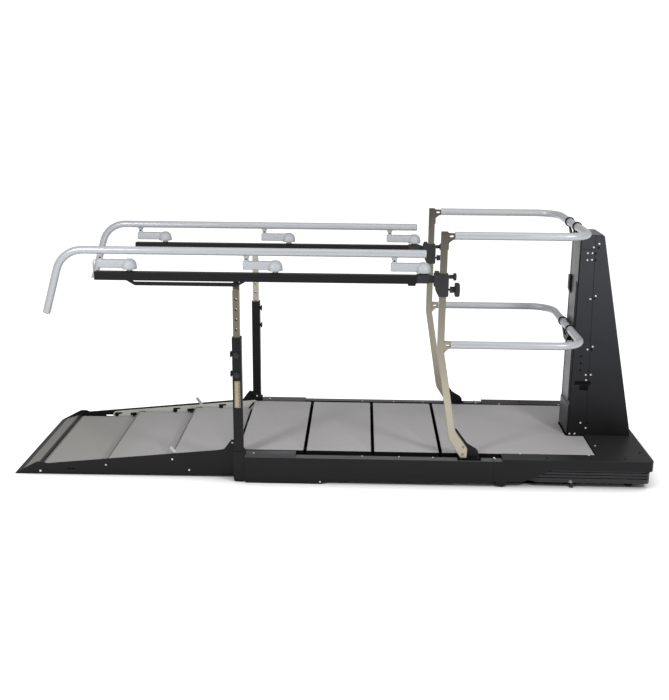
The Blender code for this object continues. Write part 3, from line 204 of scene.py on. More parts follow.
def sweep(path, section, side, ease=0.0, steps=4):
    """Section (a, b) carried along a flat path: point = path + a * normal + b * side.

    The ends shrink by ease along a quarter circle, which rounds their rims.
    """
    path = np.asarray(path, float)
    scale = np.ones(len(path))
    if ease > 0:
        turn = np.linspace(0, math.pi / 2, steps + 1)[:-1]
        reach = ease * (1 - np.cos(turn))
        shrink = 1 - ease * (1 - np.sin(turn)) / np.abs(section).max()
        head, tail = unit(path[1] - path[0]), unit(path[-2] - path[-1])
        first, last = path[0] + reach[:, None] * head, path[-1] + reach[:, None] * tail
        inner = path[1:-1]
        start, end = path[0] + ease * head, path[-1] + ease * tail
        path = np.concatenate([first, start[None], inner, end[None], last[::-1]])
        scale = np.concatenate([shrink, np.ones(len(inner) + 2), shrink[::-1]])
    tangent = unit(np.gradient(path, axis=0))
    side = unit(np.asarray(side, float))
    normal = unit(np.cross(side, tangent))
    a, b = section[:, 0][None, :, None], section[:, 1][None, :, None]
    points = path[:, None] + scale[:, None, None] * (a * normal[:, None] + b * side)
    return closed_grid(points)


def circle_section(radius, sides=32):
    """radius * (cos t, sin t) for t once round."""
    t = np.arange(sides) * 2 * math.pi / sides
    return np.stack([radius * np.cos(t), radius * np.sin(t)], axis=-1)


def box_section(half_a, half_b, corner, steps=5):
    """A rectangle whose corners are quarter circles."""
    turns = np.linspace(0, math.pi / 2, steps)
    quarters = []
    for i, (sa, sb) in enumerate(((1, 1), (-1, 1), (-1, -1), (1, -1))):
        t = turns + i * math.pi / 2
        middle = np.array([sa * (half_a - corner), sb * (half_b - corner)])
        quarters.append(middle + corner * np.stack([np.cos(t), np.sin(t)], axis=-1))
    return np.concatenate(quarters)


def lathe(centres, axis, profile, sides=24):
    """Profile (radius, height) turned about an axis at each centre.

    A point is c + h * axis + r * (cos t * u + sin t * v), with u and v square to the axis.
    """
    centres = np.atleast_2d(centres)
    axis = unit(np.asarray(axis, float))
    helper = np.array([0.0, 0.0, 1.0]) if abs(axis[2]) < 0.9 else np.array([1.0, 0.0, 0.0])
    u = unit(np.cross(helper, axis))
    v = np.cross(axis, u)
    t = np.arange(sides) * 2 * math.pi / sides
    ring = np.cos(t)[:, None] * u + np.sin(t)[:, None] * v
    r, h = np.asarray(profile, float).T
    one = h[:, None, None] * axis + r[:, None, None] * ring[None]
    points = centres[:, None, None] + one[None]
    return joined([closed_grid(copy) for copy in points])


def pad(outline, low, high, ease, steps=3):
    """A flat outline drawn up from low to high, its upper rim turned in along a quarter circle."""
    ring = np.asarray(outline, float)
    before, after = np.roll(ring, 1, axis=0), np.roll(ring, -1, axis=0)
    d1, d2 = unit(ring - before), unit(after - ring)
    n1 = np.stack([-d1[:, 1], d1[:, 0]], axis=-1)
    n2 = np.stack([-d2[:, 1], d2[:, 0]], axis=-1)
    inward = (n1 + n2) / np.maximum(1 + np.sum(n1 * n2, axis=-1, keepdims=True), 0.2)
    turn = np.linspace(0, math.pi / 2, steps + 1)
    inset = np.concatenate([[0.0], ease * (1 - np.cos(turn))])
    height = np.concatenate([[low], high - ease + ease * np.sin(turn)])
    flat = ring[None] + inset[:, None, None] * inward[None]
    rise = np.broadcast_to(height[:, None, None], flat.shape[:2] + (1,))
    return closed_grid(np.concatenate([flat, rise], axis=-1))


def rounded_rectangle(x0, x1, y0, y1, corner):
    """A rectangle seen from above, given from the ramp tip, with quarter circles at its corners."""
    section = box_section((x1 - x0) / 2, (y1 - y0) / 2, corner)
    return section + np.array([(x0 + x1) / 2 + TIP, (y0 + y1) / 2])


def joined(parts):
    """Several parts as one list of vertices and faces."""
    verts, faces, count = [], [], 0
    for points, part_faces in parts:
        verts.append(points)
        faces += [[k + count for k in face] for face in part_faces]
        count += len(points)
    return np.concatenate(verts), faces


# Finishes
GLOSS_SPREAD = 0.05
BUMP_STRENGTH = 0.5
MAT_ROUGH = 0.78
PIP_SCALE = 420.0
PIP_HIGH = 0.0004
SPOT_EDGE = 0.0004

# Where a finish changes: heights, places from the ramp tip, and spots as x, z and radius
RAIL_TOP_CHANGE = (0.1355, 0.1375)
RAIL_JOINT = (2.4320, 0.0016)
SKID_BOLT = (1.570, 0.0115, 0.0045)
RIB_SPOT = (2.822, 0.0330, 0.0090)
# Painted light: the tower's sides turn paler from the first height up to the second
TOWER_PAINTED_LIGHT = (0.25, 1.15)
# Painted light: the rear cover's top face is paler than its sides
COVER_TOP_PAINTED_LIGHT = (0.1455, 0.1475)
# Painted shade: the ramp's mats turn darker and browner from the first place to the second, towards the tip
RAMP_PAINTED_SHADE = (0.664, 0.364)
NOSE_FRONT_CHANGE = (0.036, 0.032)
NOSE_REAR_CHANGE = (0.099, 0.102)
# Painted reflection: the uprights darken towards the top, from the first height to the second
UPRIGHT_PAINTED_REFLECTION = (0.45, 1.28)
SLIDER_CHANGE = (0.56, 0.54)
MAST_CHANGE = (0.345, 0.325)
NOSE_BLACK = (0.012, 0.011, 0.010)


def node_of(tree, kind, **inputs):
    node = tree.nodes.new(kind)
    for name, value in inputs.items():
        node.inputs[name.replace("_", " ")].default_value = value
    return node


def grain(tree, scale, detail, stretch=(1, 1, 1)):
    """Noise on Object coordinates, stretched along the way the surface was brushed or rolled."""
    place = tree.nodes.new("ShaderNodeTexCoord")
    mapping = node_of(tree, "ShaderNodeMapping", Scale=stretch)
    noise = node_of(tree, "ShaderNodeTexNoise", Scale=scale, Detail=detail)
    tree.links.new(place.outputs["Object"], mapping.inputs["Vector"])
    tree.links.new(mapping.outputs["Vector"], noise.inputs["Vector"])
    return noise.outputs["Fac"]


def ranged(tree, value, low, high, span=(0.3, 0.7)):
    """Maps a value's span onto low to high, and holds it there."""
    node = node_of(tree, "ShaderNodeMapRange", From_Min=span[0], From_Max=span[1], To_Min=low, To_Max=high)
    tree.links.new(value, node.inputs["Value"])
    return node.outputs["Result"]


def along(tree, axis):
    """The place along one axis of the Object coordinates."""
    place = tree.nodes.new("ShaderNodeTexCoord")
    split = tree.nodes.new("ShaderNodeSeparateXYZ")
    tree.links.new(place.outputs["Object"], split.inputs[0])
    return split.outputs[axis]


def finish(
    name, colour, rough, fine, depth, metal=0.0, tint=0.1, stretch=(1, 1, 1), broad=6.0, specular=0.5
):
    """A painted, plated or moulded finish: fine grain in the bump, broad soft change in colour and gloss."""
    material = bpy.data.materials.new(name)
    material.use_nodes = True
    tree = material.node_tree
    shader = tree.nodes["Principled BSDF"]
    shader.inputs["Metallic"].default_value = metal
    shader.inputs["Specular IOR Level"].default_value = specular
    small = grain(tree, fine, 3.0, stretch)
    large = grain(tree, broad, 2.0)
    mix = tree.nodes.new("ShaderNodeMix")
    mix.data_type = "RGBA"
    mix.inputs[6].default_value = (*[c * (1 - tint) for c in colour], 1)
    mix.inputs[7].default_value = (*[min(c * (1 + tint), 1) for c in colour], 1)
    blend = tree.nodes.new("ShaderNodeMath")
    blend.operation = "MULTIPLY_ADD"
    blend.inputs[1].default_value = 0.5
    tree.links.new(small, blend.inputs[0])
    tree.links.new(ranged(tree, large, 0.0, 0.5), blend.inputs[2])
    tree.links.new(blend.outputs[0], mix.inputs[0])
    tree.links.new(mix.outputs[2], shader.inputs["Base Color"])
    gloss = ranged(tree, large, rough - GLOSS_SPREAD, rough + GLOSS_SPREAD)
    tree.links.new(gloss, shader.inputs["Roughness"])
    bump = node_of(tree, "ShaderNodeBump", Strength=BUMP_STRENGTH, Distance=depth)
    tree.links.new(small, bump.inputs["Height"])
    tree.links.new(bump.outputs["Normal"], shader.inputs["Normal"])
    return material


def pebbled(name, colour):
    """Anti-slip sheet: small raised pips from a Voronoi pattern over the finish's own grain."""
    material = finish(name, colour, MAT_ROUGH, fine=900.0, depth=0.0001, tint=0.07, broad=3.0, specular=0.3)
    tree = material.node_tree
    shader = tree.nodes["Principled BSDF"]
    place = tree.nodes.new("ShaderNodeTexCoord")
    cells = node_of(tree, "ShaderNodeTexVoronoi", Scale=PIP_SCALE)
    tree.links.new(place.outputs["Object"], cells.inputs["Vector"])
    pips = node_of(tree, "ShaderNodeBump", Strength=0.6, Distance=PIP_HIGH)
    pips.invert = True
    tree.links.new(cells.outputs["Distance"], pips.inputs["Height"])
    tree.links.new(shader.inputs["Normal"].links[0].from_socket, pips.inputs["Normal"])
    tree.links.new(pips.outputs["Normal"], shader.inputs["Normal"])
    return material


def repainted(material, share, colour):
    """Mixes another colour into a finish by a share from 0 to 1."""
    tree = material.node_tree
    socket = tree.nodes["Principled BSDF"].inputs["Base Color"]
    mix = tree.nodes.new("ShaderNodeMix")
    mix.data_type = "RGBA"
    mix.inputs[7].default_value = (*colour, 1)
    tree.links.new(socket.links[0].from_socket, mix.inputs[6])
    tree.links.new(share, mix.inputs[0])
    tree.links.new(mix.outputs[2], socket)
    return material


def faded(material, axis, start, end, colour):
    """Carries a finish over to another colour along an axis, from start to end."""
    tree = material.node_tree
    return repainted(material, ranged(tree, along(tree, axis), 0.0, 1.0, (start, end)), colour)


def banded(material, axis, middle, half, colour):
    """A narrow band of another colour across an axis, for a joint between two sheets."""
    tree = material.node_tree
    compare = tree.nodes.new("ShaderNodeMath")
    compare.operation = "COMPARE"
    compare.inputs[1].default_value = middle
    compare.inputs[2].default_value = half
    tree.links.new(along(tree, axis), compare.inputs[0])
    return repainted(material, compare.outputs[0], colour)


def spotted(material, x, z, radius, colour):
    """A round spot of another colour about a line along Y, for a screw set flush in a face."""
    tree = material.node_tree
    place = tree.nodes.new("ShaderNodeTexCoord")
    flat = tree.nodes.new("ShaderNodeVectorMath")
    flat.operation = "MULTIPLY"
    flat.inputs[1].default_value = (1, 0, 1)
    gap = tree.nodes.new("ShaderNodeVectorMath")
    gap.operation = "DISTANCE"
    gap.inputs[1].default_value = (x + TIP, 0, z)
    tree.links.new(place.outputs["Object"], flat.inputs[0])
    tree.links.new(flat.outputs[0], gap.inputs[0])
    span = (radius - SPOT_EDGE, radius + SPOT_EDGE)
    return repainted(material, ranged(tree, gap.outputs["Value"], 1.0, 0.0, span), colour)


MATERIALS = {}


def black_coat(name):
    colour = bpy.context.scene.stairs_colours.black
    return finish(name, colour, 0.46, fine=1400.0, depth=0.0001, tint=0.18, specular=0.19)


def frame_finishes():
    """The frame's black coats, some with a paler part, a joint or a flush screw, and painted light on the
    tower's sides and the rear cover's top.
    """
    side = faded(black_coat("black_side_coat"), "Z", *RAIL_TOP_CHANGE, (0.090, 0.090, 0.093))
    side = spotted(side, *SKID_BOLT, (0.55, 0.55, 0.53))
    joint, half = RAIL_JOINT
    ribs_colour = (0.006, 0.006, 0.008)
    ribs = finish("black_rib_coat", ribs_colour, 0.30, fine=1400.0, depth=0.00008, tint=0.15, specular=0.40)
    MATERIALS.update(
        black=black_coat("black_powder_coat"),
        rail=banded(side, "X", TIP + joint, half, (0.001, 0.001, 0.001)),
        ribs=spotted(ribs, *RIB_SPOT, (0.20, 0.20, 0.20)),
        # Painted light: the tower's black sides grow paler towards the top
        tower=faded(black_coat("black_tower_coat"), "Z", *TOWER_PAINTED_LIGHT, (0.040, 0.042, 0.049)),
        # Painted light: the rear cover's top face is made paler than its sides
        cover=faded(black_coat("black_cover_coat"), "Z", *COVER_TOP_PAINTED_LIGHT, (0.019, 0.019, 0.020)),
    )


def coat_finishes():
    """The other coats: clamps, front covers, rails, arms and mast."""
    silver = bpy.context.scene.stairs_colours.silver
    mast = finish("mast_grey_coat", (0.115, 0.112, 0.122), 0.42, fine=1300.0, depth=0.0001, metal=0.1)
    MATERIALS.update(
        clamp=finish("clamp_coat", (0.022, 0.021, 0.025), 0.5, 700.0, 0.00025, tint=0.25, specular=0.3),
        satin=finish(
            "satin_cover_coat", (0.034, 0.034, 0.037), 0.36, 1300.0, 0.0001, tint=0.12, specular=0.45
        ),
        silver=finish("silver_powder_coat", silver, 0.34, 1100.0, 0.00002, metal=0.25, tint=0.03),
        cast=finish("cast_arm_coat", silver, 0.55, 900.0, 0.00003, metal=0.15, tint=0.03, specular=0.3),
        mast=faded(mast, "Z", *MAST_CHANGE, (0.022, 0.022, 0.025)),
    )


def sheet_finishes():
    """Mats, the ramp's mats with painted shade towards the tip, the nose strip and the panels' edge strips.
    """
    colour = bpy.context.scene.stairs_colours.mat
    shade_start, shade_end = (TIP + x for x in RAMP_PAINTED_SHADE)
    nose = finish("nose_strip", (0.20, 0.195, 0.18), 0.6, fine=900.0, depth=0.0001, tint=0.08)
    for change in (NOSE_FRONT_CHANGE, NOSE_REAR_CHANGE):
        nose = faded(nose, "X", TIP + change[0], TIP + change[1], NOSE_BLACK)
    ramp_mat = pebbled("ramp_anti_slip_sheet", colour)
    MATERIALS.update(
        mat=pebbled("anti_slip_sheet", colour),
        # Painted shade: the ramp's mats darken and brown towards the ramp tip
        ramp_mat=faded(ramp_mat, "X", shade_start, shade_end, (0.315, 0.31, 0.295)),
        nose=nose,
        rim=finish("panel_edge_strip", (0.17, 0.16, 0.14), 0.5, fine=900.0, depth=0.00005, metal=0.1),
    )


def anodised(name, colour):
    brushed = (1, 1, 0.04)
    return finish(name, colour, 0.34, fine=700.0, depth=0.00005, metal=0.55, tint=0.12, stretch=brushed)


def metal_finishes():
    """Anodised uprights and sliders, plated links and screws."""
    c = bpy.context.scene.stairs_colours
    upright = anodised("champagne_anodised", c.upright)
    bronze = anodised("bronze_anodised", (0.140, 0.124, 0.090))
    rolled = (0.1, 1, 1)
    MATERIALS.update(
        # Painted reflection: the uprights' colour darkens towards the top
        upright=faded(upright, "Z", *UPRIGHT_PAINTED_REFLECTION, (0.082, 0.075, 0.061)),
        bronze=faded(bronze, "Z", *SLIDER_CHANGE, (0.35, 0.295, 0.21)),
        pale_bronze=anodised("pale_bronze_anodised", (0.40, 0.37, 0.30)),
        zinc=finish("zinc_plate", c.zinc, 0.40, 260.0, 0.00006, metal=0.25, tint=0.08, stretch=rolled),
        screw=finish("bright_screw", (0.70, 0.70, 0.68), 0.34, 900.0, 0.00005, metal=0.35),
    )


def dark_finishes():
    """Moulded plastic, blackened screws, and the dark of holes and joints."""
    MATERIALS.update(
        plastic=finish(
            "moulded_plastic", (0.010, 0.010, 0.011), 0.40, 1600.0, 0.00008, tint=0.15, specular=0.35
        ),
        dark_screw=finish("dark_screw", (0.0045, 0.0045, 0.005), 0.50, 900.0, 0.00005, specular=0.15),
        hole=finish("dark_hole", (0.003, 0.003, 0.0035), 0.8, 900.0, 0.00005, specular=0.1),
    )


# Pieces
SHARP_ANGLE = 38.0
CAST_SHARP_ANGLE = 50.0
MERGE_GAP = 0.00002
FLAT_ANGLE = 0.6
BEVEL_ANGLE = 40.0
THIN_EASE = 0.4


def make_piece(name, parts, material, body, replaces=(), angle=SHARP_ANGLE):
    verts, faces = joined(parts)
    mesh = bpy.data.meshes.new(name)
    mesh.from_pydata(verts.tolist(), [], faces)
    bm = bmesh.new()
    bm.from_mesh(mesh)
    bmesh.ops.recalc_face_normals(bm, faces=bm.faces)
    bm.to_mesh(mesh)
    bm.free()
    mesh.shade_smooth()
    mesh.set_sharp_from_angle(angle=math.radians(angle))
    mesh.materials.append(MATERIALS[material])
    piece = bpy.data.objects.new(name, mesh)
    bpy.context.scene.collection.objects.link(piece)
    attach(piece, body)
    if replaces:
        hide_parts(*replaces)


def ease_node(node, material, width):
    """A merged copy of a frame part whose edges are eased by a bevel, in place of the part."""
    source = frame["nodes"][node]
    mesh = source.data.copy()
    mesh.materials.clear()
    bm = bmesh.new()
    bm.from_mesh(mesh)
    bmesh.ops.remove_doubles(bm, verts=bm.verts, dist=MERGE_GAP)
    flat = math.radians(FLAT_ANGLE)
    bmesh.ops.dissolve_limit(
        bm, angle_limit=flat, verts=bm.verts, edges=bm.edges, use_dissolve_boundaries=False
    )
    bm.to_mesh(mesh)
    bm.free()
    mesh.materials.append(MATERIALS[material])
    mesh.shade_smooth()
    mesh.set_sharp_from_angle(angle=math.radians(SHARP_ANGLE))
    piece = bpy.data.objects.new(f"{node}_finished", mesh)
    bpy.context.scene.collection.objects.link(piece)
    bevel = piece.modifiers.new("ease", "BEVEL")
    bevel.width = width
    bevel.segments = 2
    bevel.limit_method = "ANGLE"
    bevel.angle_limit = math.radians(BEVEL_ANGLE)
    bevel.use_clamp_overlap = True
    bevel.harden_normals = True
    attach(piece, source["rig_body"])
    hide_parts(node)


NODE_FINISHES = {
    "black": (
        "base_frame", "ramp_frame", "lift_frame", "rail_saddle_upper", "rail_saddle_lower",
        "tower_rear_cover", "post_tube_near", "post_tube_far", "mast_hook", "beam_near", "beam_far",
        "tread_1", "tread_2", "tread_3", "platform_deck", "ramp_panel_1", "ramp_panel_2", "ramp_panel_3",
    ),
    "satin": ("front_cover_near", "front_cover_far", "actuator_body"),
    "rail": ("side_rail_near", "side_rail_far"),
    "cover": ("rear_cover",),
    "ribs": ("rear_base",),
    "clamp": ("rail_clamp_near", "rail_clamp_far", "beam_end_near", "beam_end_far"),
    "tower": ("tower_side_near", "tower_side_far"),
    "nose": ("ramp_nose",),
    "bronze": ("post_inner_near",),
    "pale_bronze": ("post_inner_far",),
    "zinc": ("ramp_link_near", "ramp_link_far", "actuator_rod"),
    "mast": ("mast",),
    "silver": ("ramp_lever",),
}
THIN_EDGED = (
    "ramp_link", "beam_end", "rail_saddle", "ramp_lever", "post_inner", "actuator", "tread", "ramp_panel",
)


class STAIRS_OT_finishes(bpy.types.Operator):
    """Makes the finishes that the pieces share"""

    bl_idname = "stairs.finishes"
    bl_label = "Finishes"

    def execute(self, context):
        for group in (frame_finishes, coat_finishes, sheet_finishes, metal_finishes, dark_finishes):
            group()
        return {"FINISHED"}


class STAIRS_OT_frame_parts(bpy.types.Operator):
    """Eases the edges of the frame parts and gives them their finishes"""

    bl_idname = "stairs.frame_parts"
    bl_label = "Frame parts"

    def execute(self, context):
        ease = context.scene.stairs_settings.edge_ease
        for material, nodes in NODE_FINISHES.items():
            for node in nodes:
                width = ease * THIN_EASE if node.startswith(THIN_EDGED) else ease
                ease_node(node, material, width)
        return {"FINISHED"}


HANDRAIL_REAR_X = 2.070
HANDRAIL_BEND_X = 0.323
HANDRAIL_LOW_X, HANDRAIL_LOW_Z = 0.231, 0.857
HANDRAIL_BEND = 0.135
HANDRAIL_RIM = 0.0045
GUARD_REAR_X = 2.848
GUARD_BEND = 0.130
GUARD_RIM = 0.002
PLUG = ((0.0150, -0.0010), (0.0168, 0.0000), (0.0162, 0.0010), (0.0120, 0.0016), (0.0040, 0.0018))


class STAIRS_OT_rails(bpy.types.Operator):
    """Sweeps the handrails and the two guard rails"""

    bl_idname = "stairs.rails"
    bl_label = "Rails"

    def execute(self, context):
        section = circle_section(context.scene.stairs_settings.tube_radius, 36)
        for name, side in SIDES:
            y, node = side * RAIL_Y, f"handrail_{name}"
            rear, bend = at(HANDRAIL_REAR_X, y, HANDRAIL_Z), at(HANDRAIL_BEND_X, y, HANDRAIL_Z)
            low = at(HANDRAIL_LOW_X, y, HANDRAIL_LOW_Z)
            part = sweep(rounded_path([rear, bend, low], HANDRAIL_BEND), section, (0, 1, 0), HANDRAIL_RIM)
            make_piece(f"{node}_tube", [part], "silver", node, [node])
            ends = [lathe(rear, (1, 0, 0), PLUG, 32), lathe(low, low - bend, PLUG, 32)]
            make_piece(f"{node}_plugs", ends, "plastic", node)
        for level, z in GUARD_HEIGHTS.items():
            start, node = GUARD_STARTS[level], f"guard_rail_{level}"
            corners = [at(start, -RAIL_Y, z), at(GUARD_REAR_X, -RAIL_Y, z)]
            corners += [at(GUARD_REAR_X, RAIL_Y, z), at(start, RAIL_Y, z)]
            part = sweep(rounded_path(corners, GUARD_BEND, 18), section, (0, 0, 1), GUARD_RIM)
            make_piece(f"{node}_tube", [part], "silver", "platform", [node])
        return {"FINISHED"}


def ribbon(left, right, y, half, corner, ease, rows=150):
    """A bar between the edges x = left(z) and x = right(z): at each height a rounded rectangle."""
    top, low = left[0][2], left[-1][2]
    cap = top - ease * (1 - np.cos(np.linspace(0, math.pi / 2, 5)))
    z = np.concatenate([cap, np.linspace(top - ease, low, rows)[1:]])
    shrink = ease - np.sqrt(np.maximum(ease**2 - np.maximum(z - (top - ease), 0) ** 2, 0))
    x0, x1 = (np.interp(-z, -edge[:, 2], edge[:, 0]) for edge in (left, right))
    quarter = np.linspace(0, math.pi / 2, 6)
    t = np.concatenate([quarter + k * math.pi / 2 for k in range(4)])
    sx = np.repeat([1, -1, -1, 1], 6)
    sy = np.repeat([1, 1, -1, -1], 6)
    middle, wide = (x0 + x1)[:, None] / 2, (x1 - x0)[:, None] / 2 - shrink[:, None]
    deep = half - shrink[:, None]
    x = middle + sx * (wide - corner) + corner * np.cos(t)
    across = y + sy * (deep - corner) + corner * np.sin(t)
    return closed_grid(np.stack([x, across, np.broadcast_to(z[:, None], x.shape)], axis=-1))


def reach_of(ring, centre, angles):
    """How far a ray from the centre runs at each angle before it meets the ring of straight edges."""
    a, b = ring - centre, np.roll(ring, -1, axis=0) - centre
    ray = np.stack([np.cos(angles), np.sin(angles)], axis=-1)[:, None]
    edge = (b - a)[None]
    cross = ray[..., 0] * edge[..., 1] - ray[..., 1] * edge[..., 0]
    cross = np.where(np.abs(cross) < 1e-12, 1e-12, cross)
    distance = (a[None, :, 0] * edge[..., 1] - a[None, :, 1] * edge[..., 0]) / cross
    share = (a[None, :, 0] * ray[..., 1] - a[None, :, 1] * ray[..., 0]) / cross
    met = (distance > 0) & (share > -1e-6) & (share < 1 + 1e-6)
    return np.where(met, distance, np.inf).min(axis=1)


def eyed_plate(outer, eye, y, half, ease):
    """A flat lug with a slot through it: rings from the slot out to the outline and back."""
    outer, eye = np.asarray(outer, float), np.asarray(eye, float)
    centre = eye.mean(axis=0)
    corner = np.arctan2(*(outer - centre).T[::-1])
    angles = np.sort(np.concatenate([np.linspace(-math.pi, math.pi, 73)[:-1], corner]))
    far, close = reach_of(outer, centre, angles), reach_of(eye, centre, angles)
    radius = np.stack([close, far - ease, far, far, far - ease, close])
    depth = np.array([-half, -half, ease - half, half - ease, half, half])[:, None]
    x = centre[0] + radius * np.cos(angles)
    z = centre[1] + radius * np.sin(angles)
    points = np.stack([x + TIP, y + np.broadcast_to(depth, x.shape), z], axis=-1)
    rows, columns = radius.shape
    faces = [[k % (rows * columns) for k in face] for face in grid_faces(rows + 1, columns)]
    return points.reshape(-1, 3), faces


def slot_ring(x0, x1, z, radius, steps=10):
    """A slot's outline: two half circles joined by straight sides."""
    t = np.linspace(-math.pi / 2, math.pi / 2, steps)
    right = np.stack([x1 + radius * np.cos(t), z + radius * np.sin(t)], axis=-1)
    left = np.stack([x0 - radius * np.cos(t), z - radius * np.sin(t)], axis=-1)
    return np.concatenate([right, left])


# The upright's front and rear edge as x and z from the top down, and the radius at each of these points
UPRIGHT_FRONT = ((2.136, 1.276), (2.136, 0.690), (2.209, 0.240), (2.262, 0.156), (2.268, 0.1443))
UPRIGHT_FRONT_BENDS = (0, 0.1, 0.06, 0.008, 0)
UPRIGHT_BACK_X = 2.170
UPRIGHT_BACK = (
    (UPRIGHT_BACK_X, 1.276), (UPRIGHT_BACK_X, 0.692), (2.240, 0.285),
    (2.296, 0.205), (2.304, 0.190), (2.303, 0.1443),
)
UPRIGHT_BACK_BENDS = (0, 0.1, 0.06, 0.012, 0.010, 0)
UPRIGHT_HALF = 0.0125
UPRIGHT_CORNER = 0.0045
UPRIGHT_RIM = 0.0025

# How far a lug stands above its rail's middle, and how far its tail runs below it
LUG_SPANS = {"upper": (0.013, 0.067), "lower": (0.018, 0.038)}
LUG_HALF = 0.0105
LUG_ROOT = 0.003
LUG_EASE = 0.0012
LUG_GAP = 0.0003
EYE_RADIUS = 0.0052
TAIL_START = 0.030
TAIL_HALF = 0.0035


def rail_lug(level, y):
    """The lug that holds a guard rail's end, with an eye through it, and its tail on the upright."""
    z, back = GUARD_HEIGHTS[level], UPRIGHT_BACK_X
    (above, below), end = LUG_SPANS[level], GUARD_STARTS[level] - LUG_GAP
    outline = [
        (back - LUG_ROOT, z + above), (end, z + above - 0.002), (end, z - 0.017),
        (end - 0.010, z - 0.020), (back + 0.004, z - 0.034), (back - LUG_ROOT, z - 0.037),
    ]
    eye = slot_ring(back + 0.0115, end - 0.0095, z - 0.003, EYE_RADIUS)
    section = box_section(TAIL_HALF, (below - TAIL_START) / 2, 0.001, 3)
    low = z - (TAIL_START + below) / 2
    tail = straight(at(back + 0.0005, y - LUG_HALF, low), at(back + 0.0005, y + LUG_HALF, low))
    return [eyed_plate(outline, eye, y, LUG_HALF, LUG_EASE), sweep(tail, section, (0, 0, 1), 0.0008)]


class STAIRS_OT_uprights(bpy.types.Operator):
    """Lofts the bent champagne uprights with their rail lugs"""

    bl_idname = "stairs.uprights"
    bl_label = "Uprights"

    def execute(self, context):
        for name, side in SIDES:
            y = side * RAIL_Y
            edges = [
                rounded_path([at(x, y, z) for x, z in line], bends)
                for line, bends in ((UPRIGHT_FRONT, UPRIGHT_FRONT_BENDS), (UPRIGHT_BACK, UPRIGHT_BACK_BENDS))
            ]
            parts = [ribbon(*edges, y, UPRIGHT_HALF, UPRIGHT_CORNER, UPRIGHT_RIM)]
            for level in GUARD_HEIGHTS:
                parts += rail_lug(level, y)
            make_piece(f"upright_{name}_bar", parts, "upright", "platform", [f"upright_{name}"])
        return {"FINISHED"}


ARM_PIVOTS = (0.648, 1.350, 2.057)
ARM_REACH = 0.138
ARM_LOW = 1.0835
ARM_BAR_Z = 1.1033
ARM_BAR_ENDS = (-0.155, -0.070, -0.004)
ARM_BAR_HALVES = (0.0198, 0.0170, 0.0060)
ARM_RIM = 0.005
BEAM_TOP = 1.0655
SHOULDER_TOP = 1.0705
WASHER = 0.0043
STEM_Z = 1.1222
STEM = (
    (0.0125, 0.0), (0.0108, 0.0040), (0.0105, 0.0100), (0.0112, 0.0170), (0.0140, 0.0230), (0.0172, 0.0275),
    (0.0180, 0.0300),
)
STEM_SCREW_Z = 1.134
STEM_SCREW_OUT = 0.0104
DOME_DROP = 0.0040
DOME_NECK = 0.0125
# The dome's radius and its height above its rim
DOME = (
    (0.0150, -0.001), (0.0200, -0.0005), (0.0340, 0.0), (0.0360, 0.002), (0.0358, 0.012), (0.0340, 0.024),
    (0.0300, 0.034), (0.0240, 0.0415), (0.0150, 0.0468), (0.0060, 0.0485),
)
# The wire hook on the near front arm, as x from the pivot and z
HOOK = ((-0.150, 1.1195), (-0.1745, 1.1195), (-0.1745, 1.043), (-0.187, 1.034))
HOOK_BENDS = (0, 0.008, 0.008, 0)
HOOK_SECTION = (0.0024, 0.006, 0.0012, 3)


def arm_dome(x, y, seat):
    """The arm's round boss about its pivot: a bullet-shaped cap over a neck that stands on the beam."""
    low = ARM_LOW - DOME_DROP
    profile = [(DOME_NECK, seat)] + [(radius, low + rise) for radius, rise in DOME]
    return lathe(at(x, y, 0.0), (0, 0, 1), profile, 40)


class STAIRS_OT_swing_arms(bpy.types.Operator):
    """Casts the swing arms that carry the handrails"""

    bl_idname = "stairs.swing_arms"
    bl_label = "Swing arms"

    def execute(self, context):
        bar = box_section(*ARM_BAR_HALVES)
        for name, side in SIDES:
            y = side * RAIL_Y
            for i, x in enumerate(ARM_PIVOTS, 1):
                seat = (SHOULDER_TOP if i == len(ARM_PIVOTS) else BEAM_TOP) + WASHER
                run = [at(x + end, y, ARM_BAR_Z) for end in ARM_BAR_ENDS]
                parts = [sweep(run, bar, (0, 1, 0), ARM_RIM), arm_dome(x, y, seat)]
                parts.append(lathe(at(x - ARM_REACH, y, STEM_Z), (0, 0, 1), STEM))
                if name == "near" and i == 1:
                    hook = rounded_path([at(x + dx, y, z) for dx, z in HOOK], HOOK_BENDS, 6)
                    parts.append(sweep(hook, box_section(*HOOK_SECTION), (0, 1, 0), 0.0008))
                node = f"swing_arm_{name}_{i}"
                make_piece(f"{node}_casting", parts, "cast", node, [node], CAST_SHARP_ANGLE)
                place = at(x - ARM_REACH, y - STEM_SCREW_OUT, STEM_SCREW_Z)
                screw = lathe(place, (0, -1, 0), screw_profile(0.0042), 16)
                make_piece(f"{node}_stem_screw", [screw], "dark_screw", node)
        return {"FINISHED"}


def screw_profile(radius, high=SCREW_HIGH):
    """A domed head with a round socket in it, as radius and height from its seat inwards."""
    return [
        (radius * 0.92, -0.0004), (radius, 0.0), (radius, high * 0.25), (radius * 0.93, high * 0.60),
        (radius * 0.72, high * 0.90), (radius * 0.50, high), (radius * 0.46, high),
        (radius * 0.44, high * 0.45), (radius * 0.20, high * 0.40),
    ]


def screw_heads(places, axis, radius, high=SCREW_HIGH):
    """A domed head at each place, facing along the axis."""
    return lathe(places, axis, screw_profile(radius, high), SCREW_SIDES)


SHEET_SINK = 0.0002
SHEET_EASE = 0.0008
SHEET_INSET = 0.002
SHEET_CORNER = 0.004
PANEL_MAT_START = 0.012
STRIP_START, STRIP_END = 0.0035, 0.0105
STRIP_RISE = 0.8
DECK_MAT_START, DECK_MAT_END = 2.186, 2.953
NOTCH_START = 2.860
NOTCH_HALF = 0.106
NOTCH_CUT = 0.008


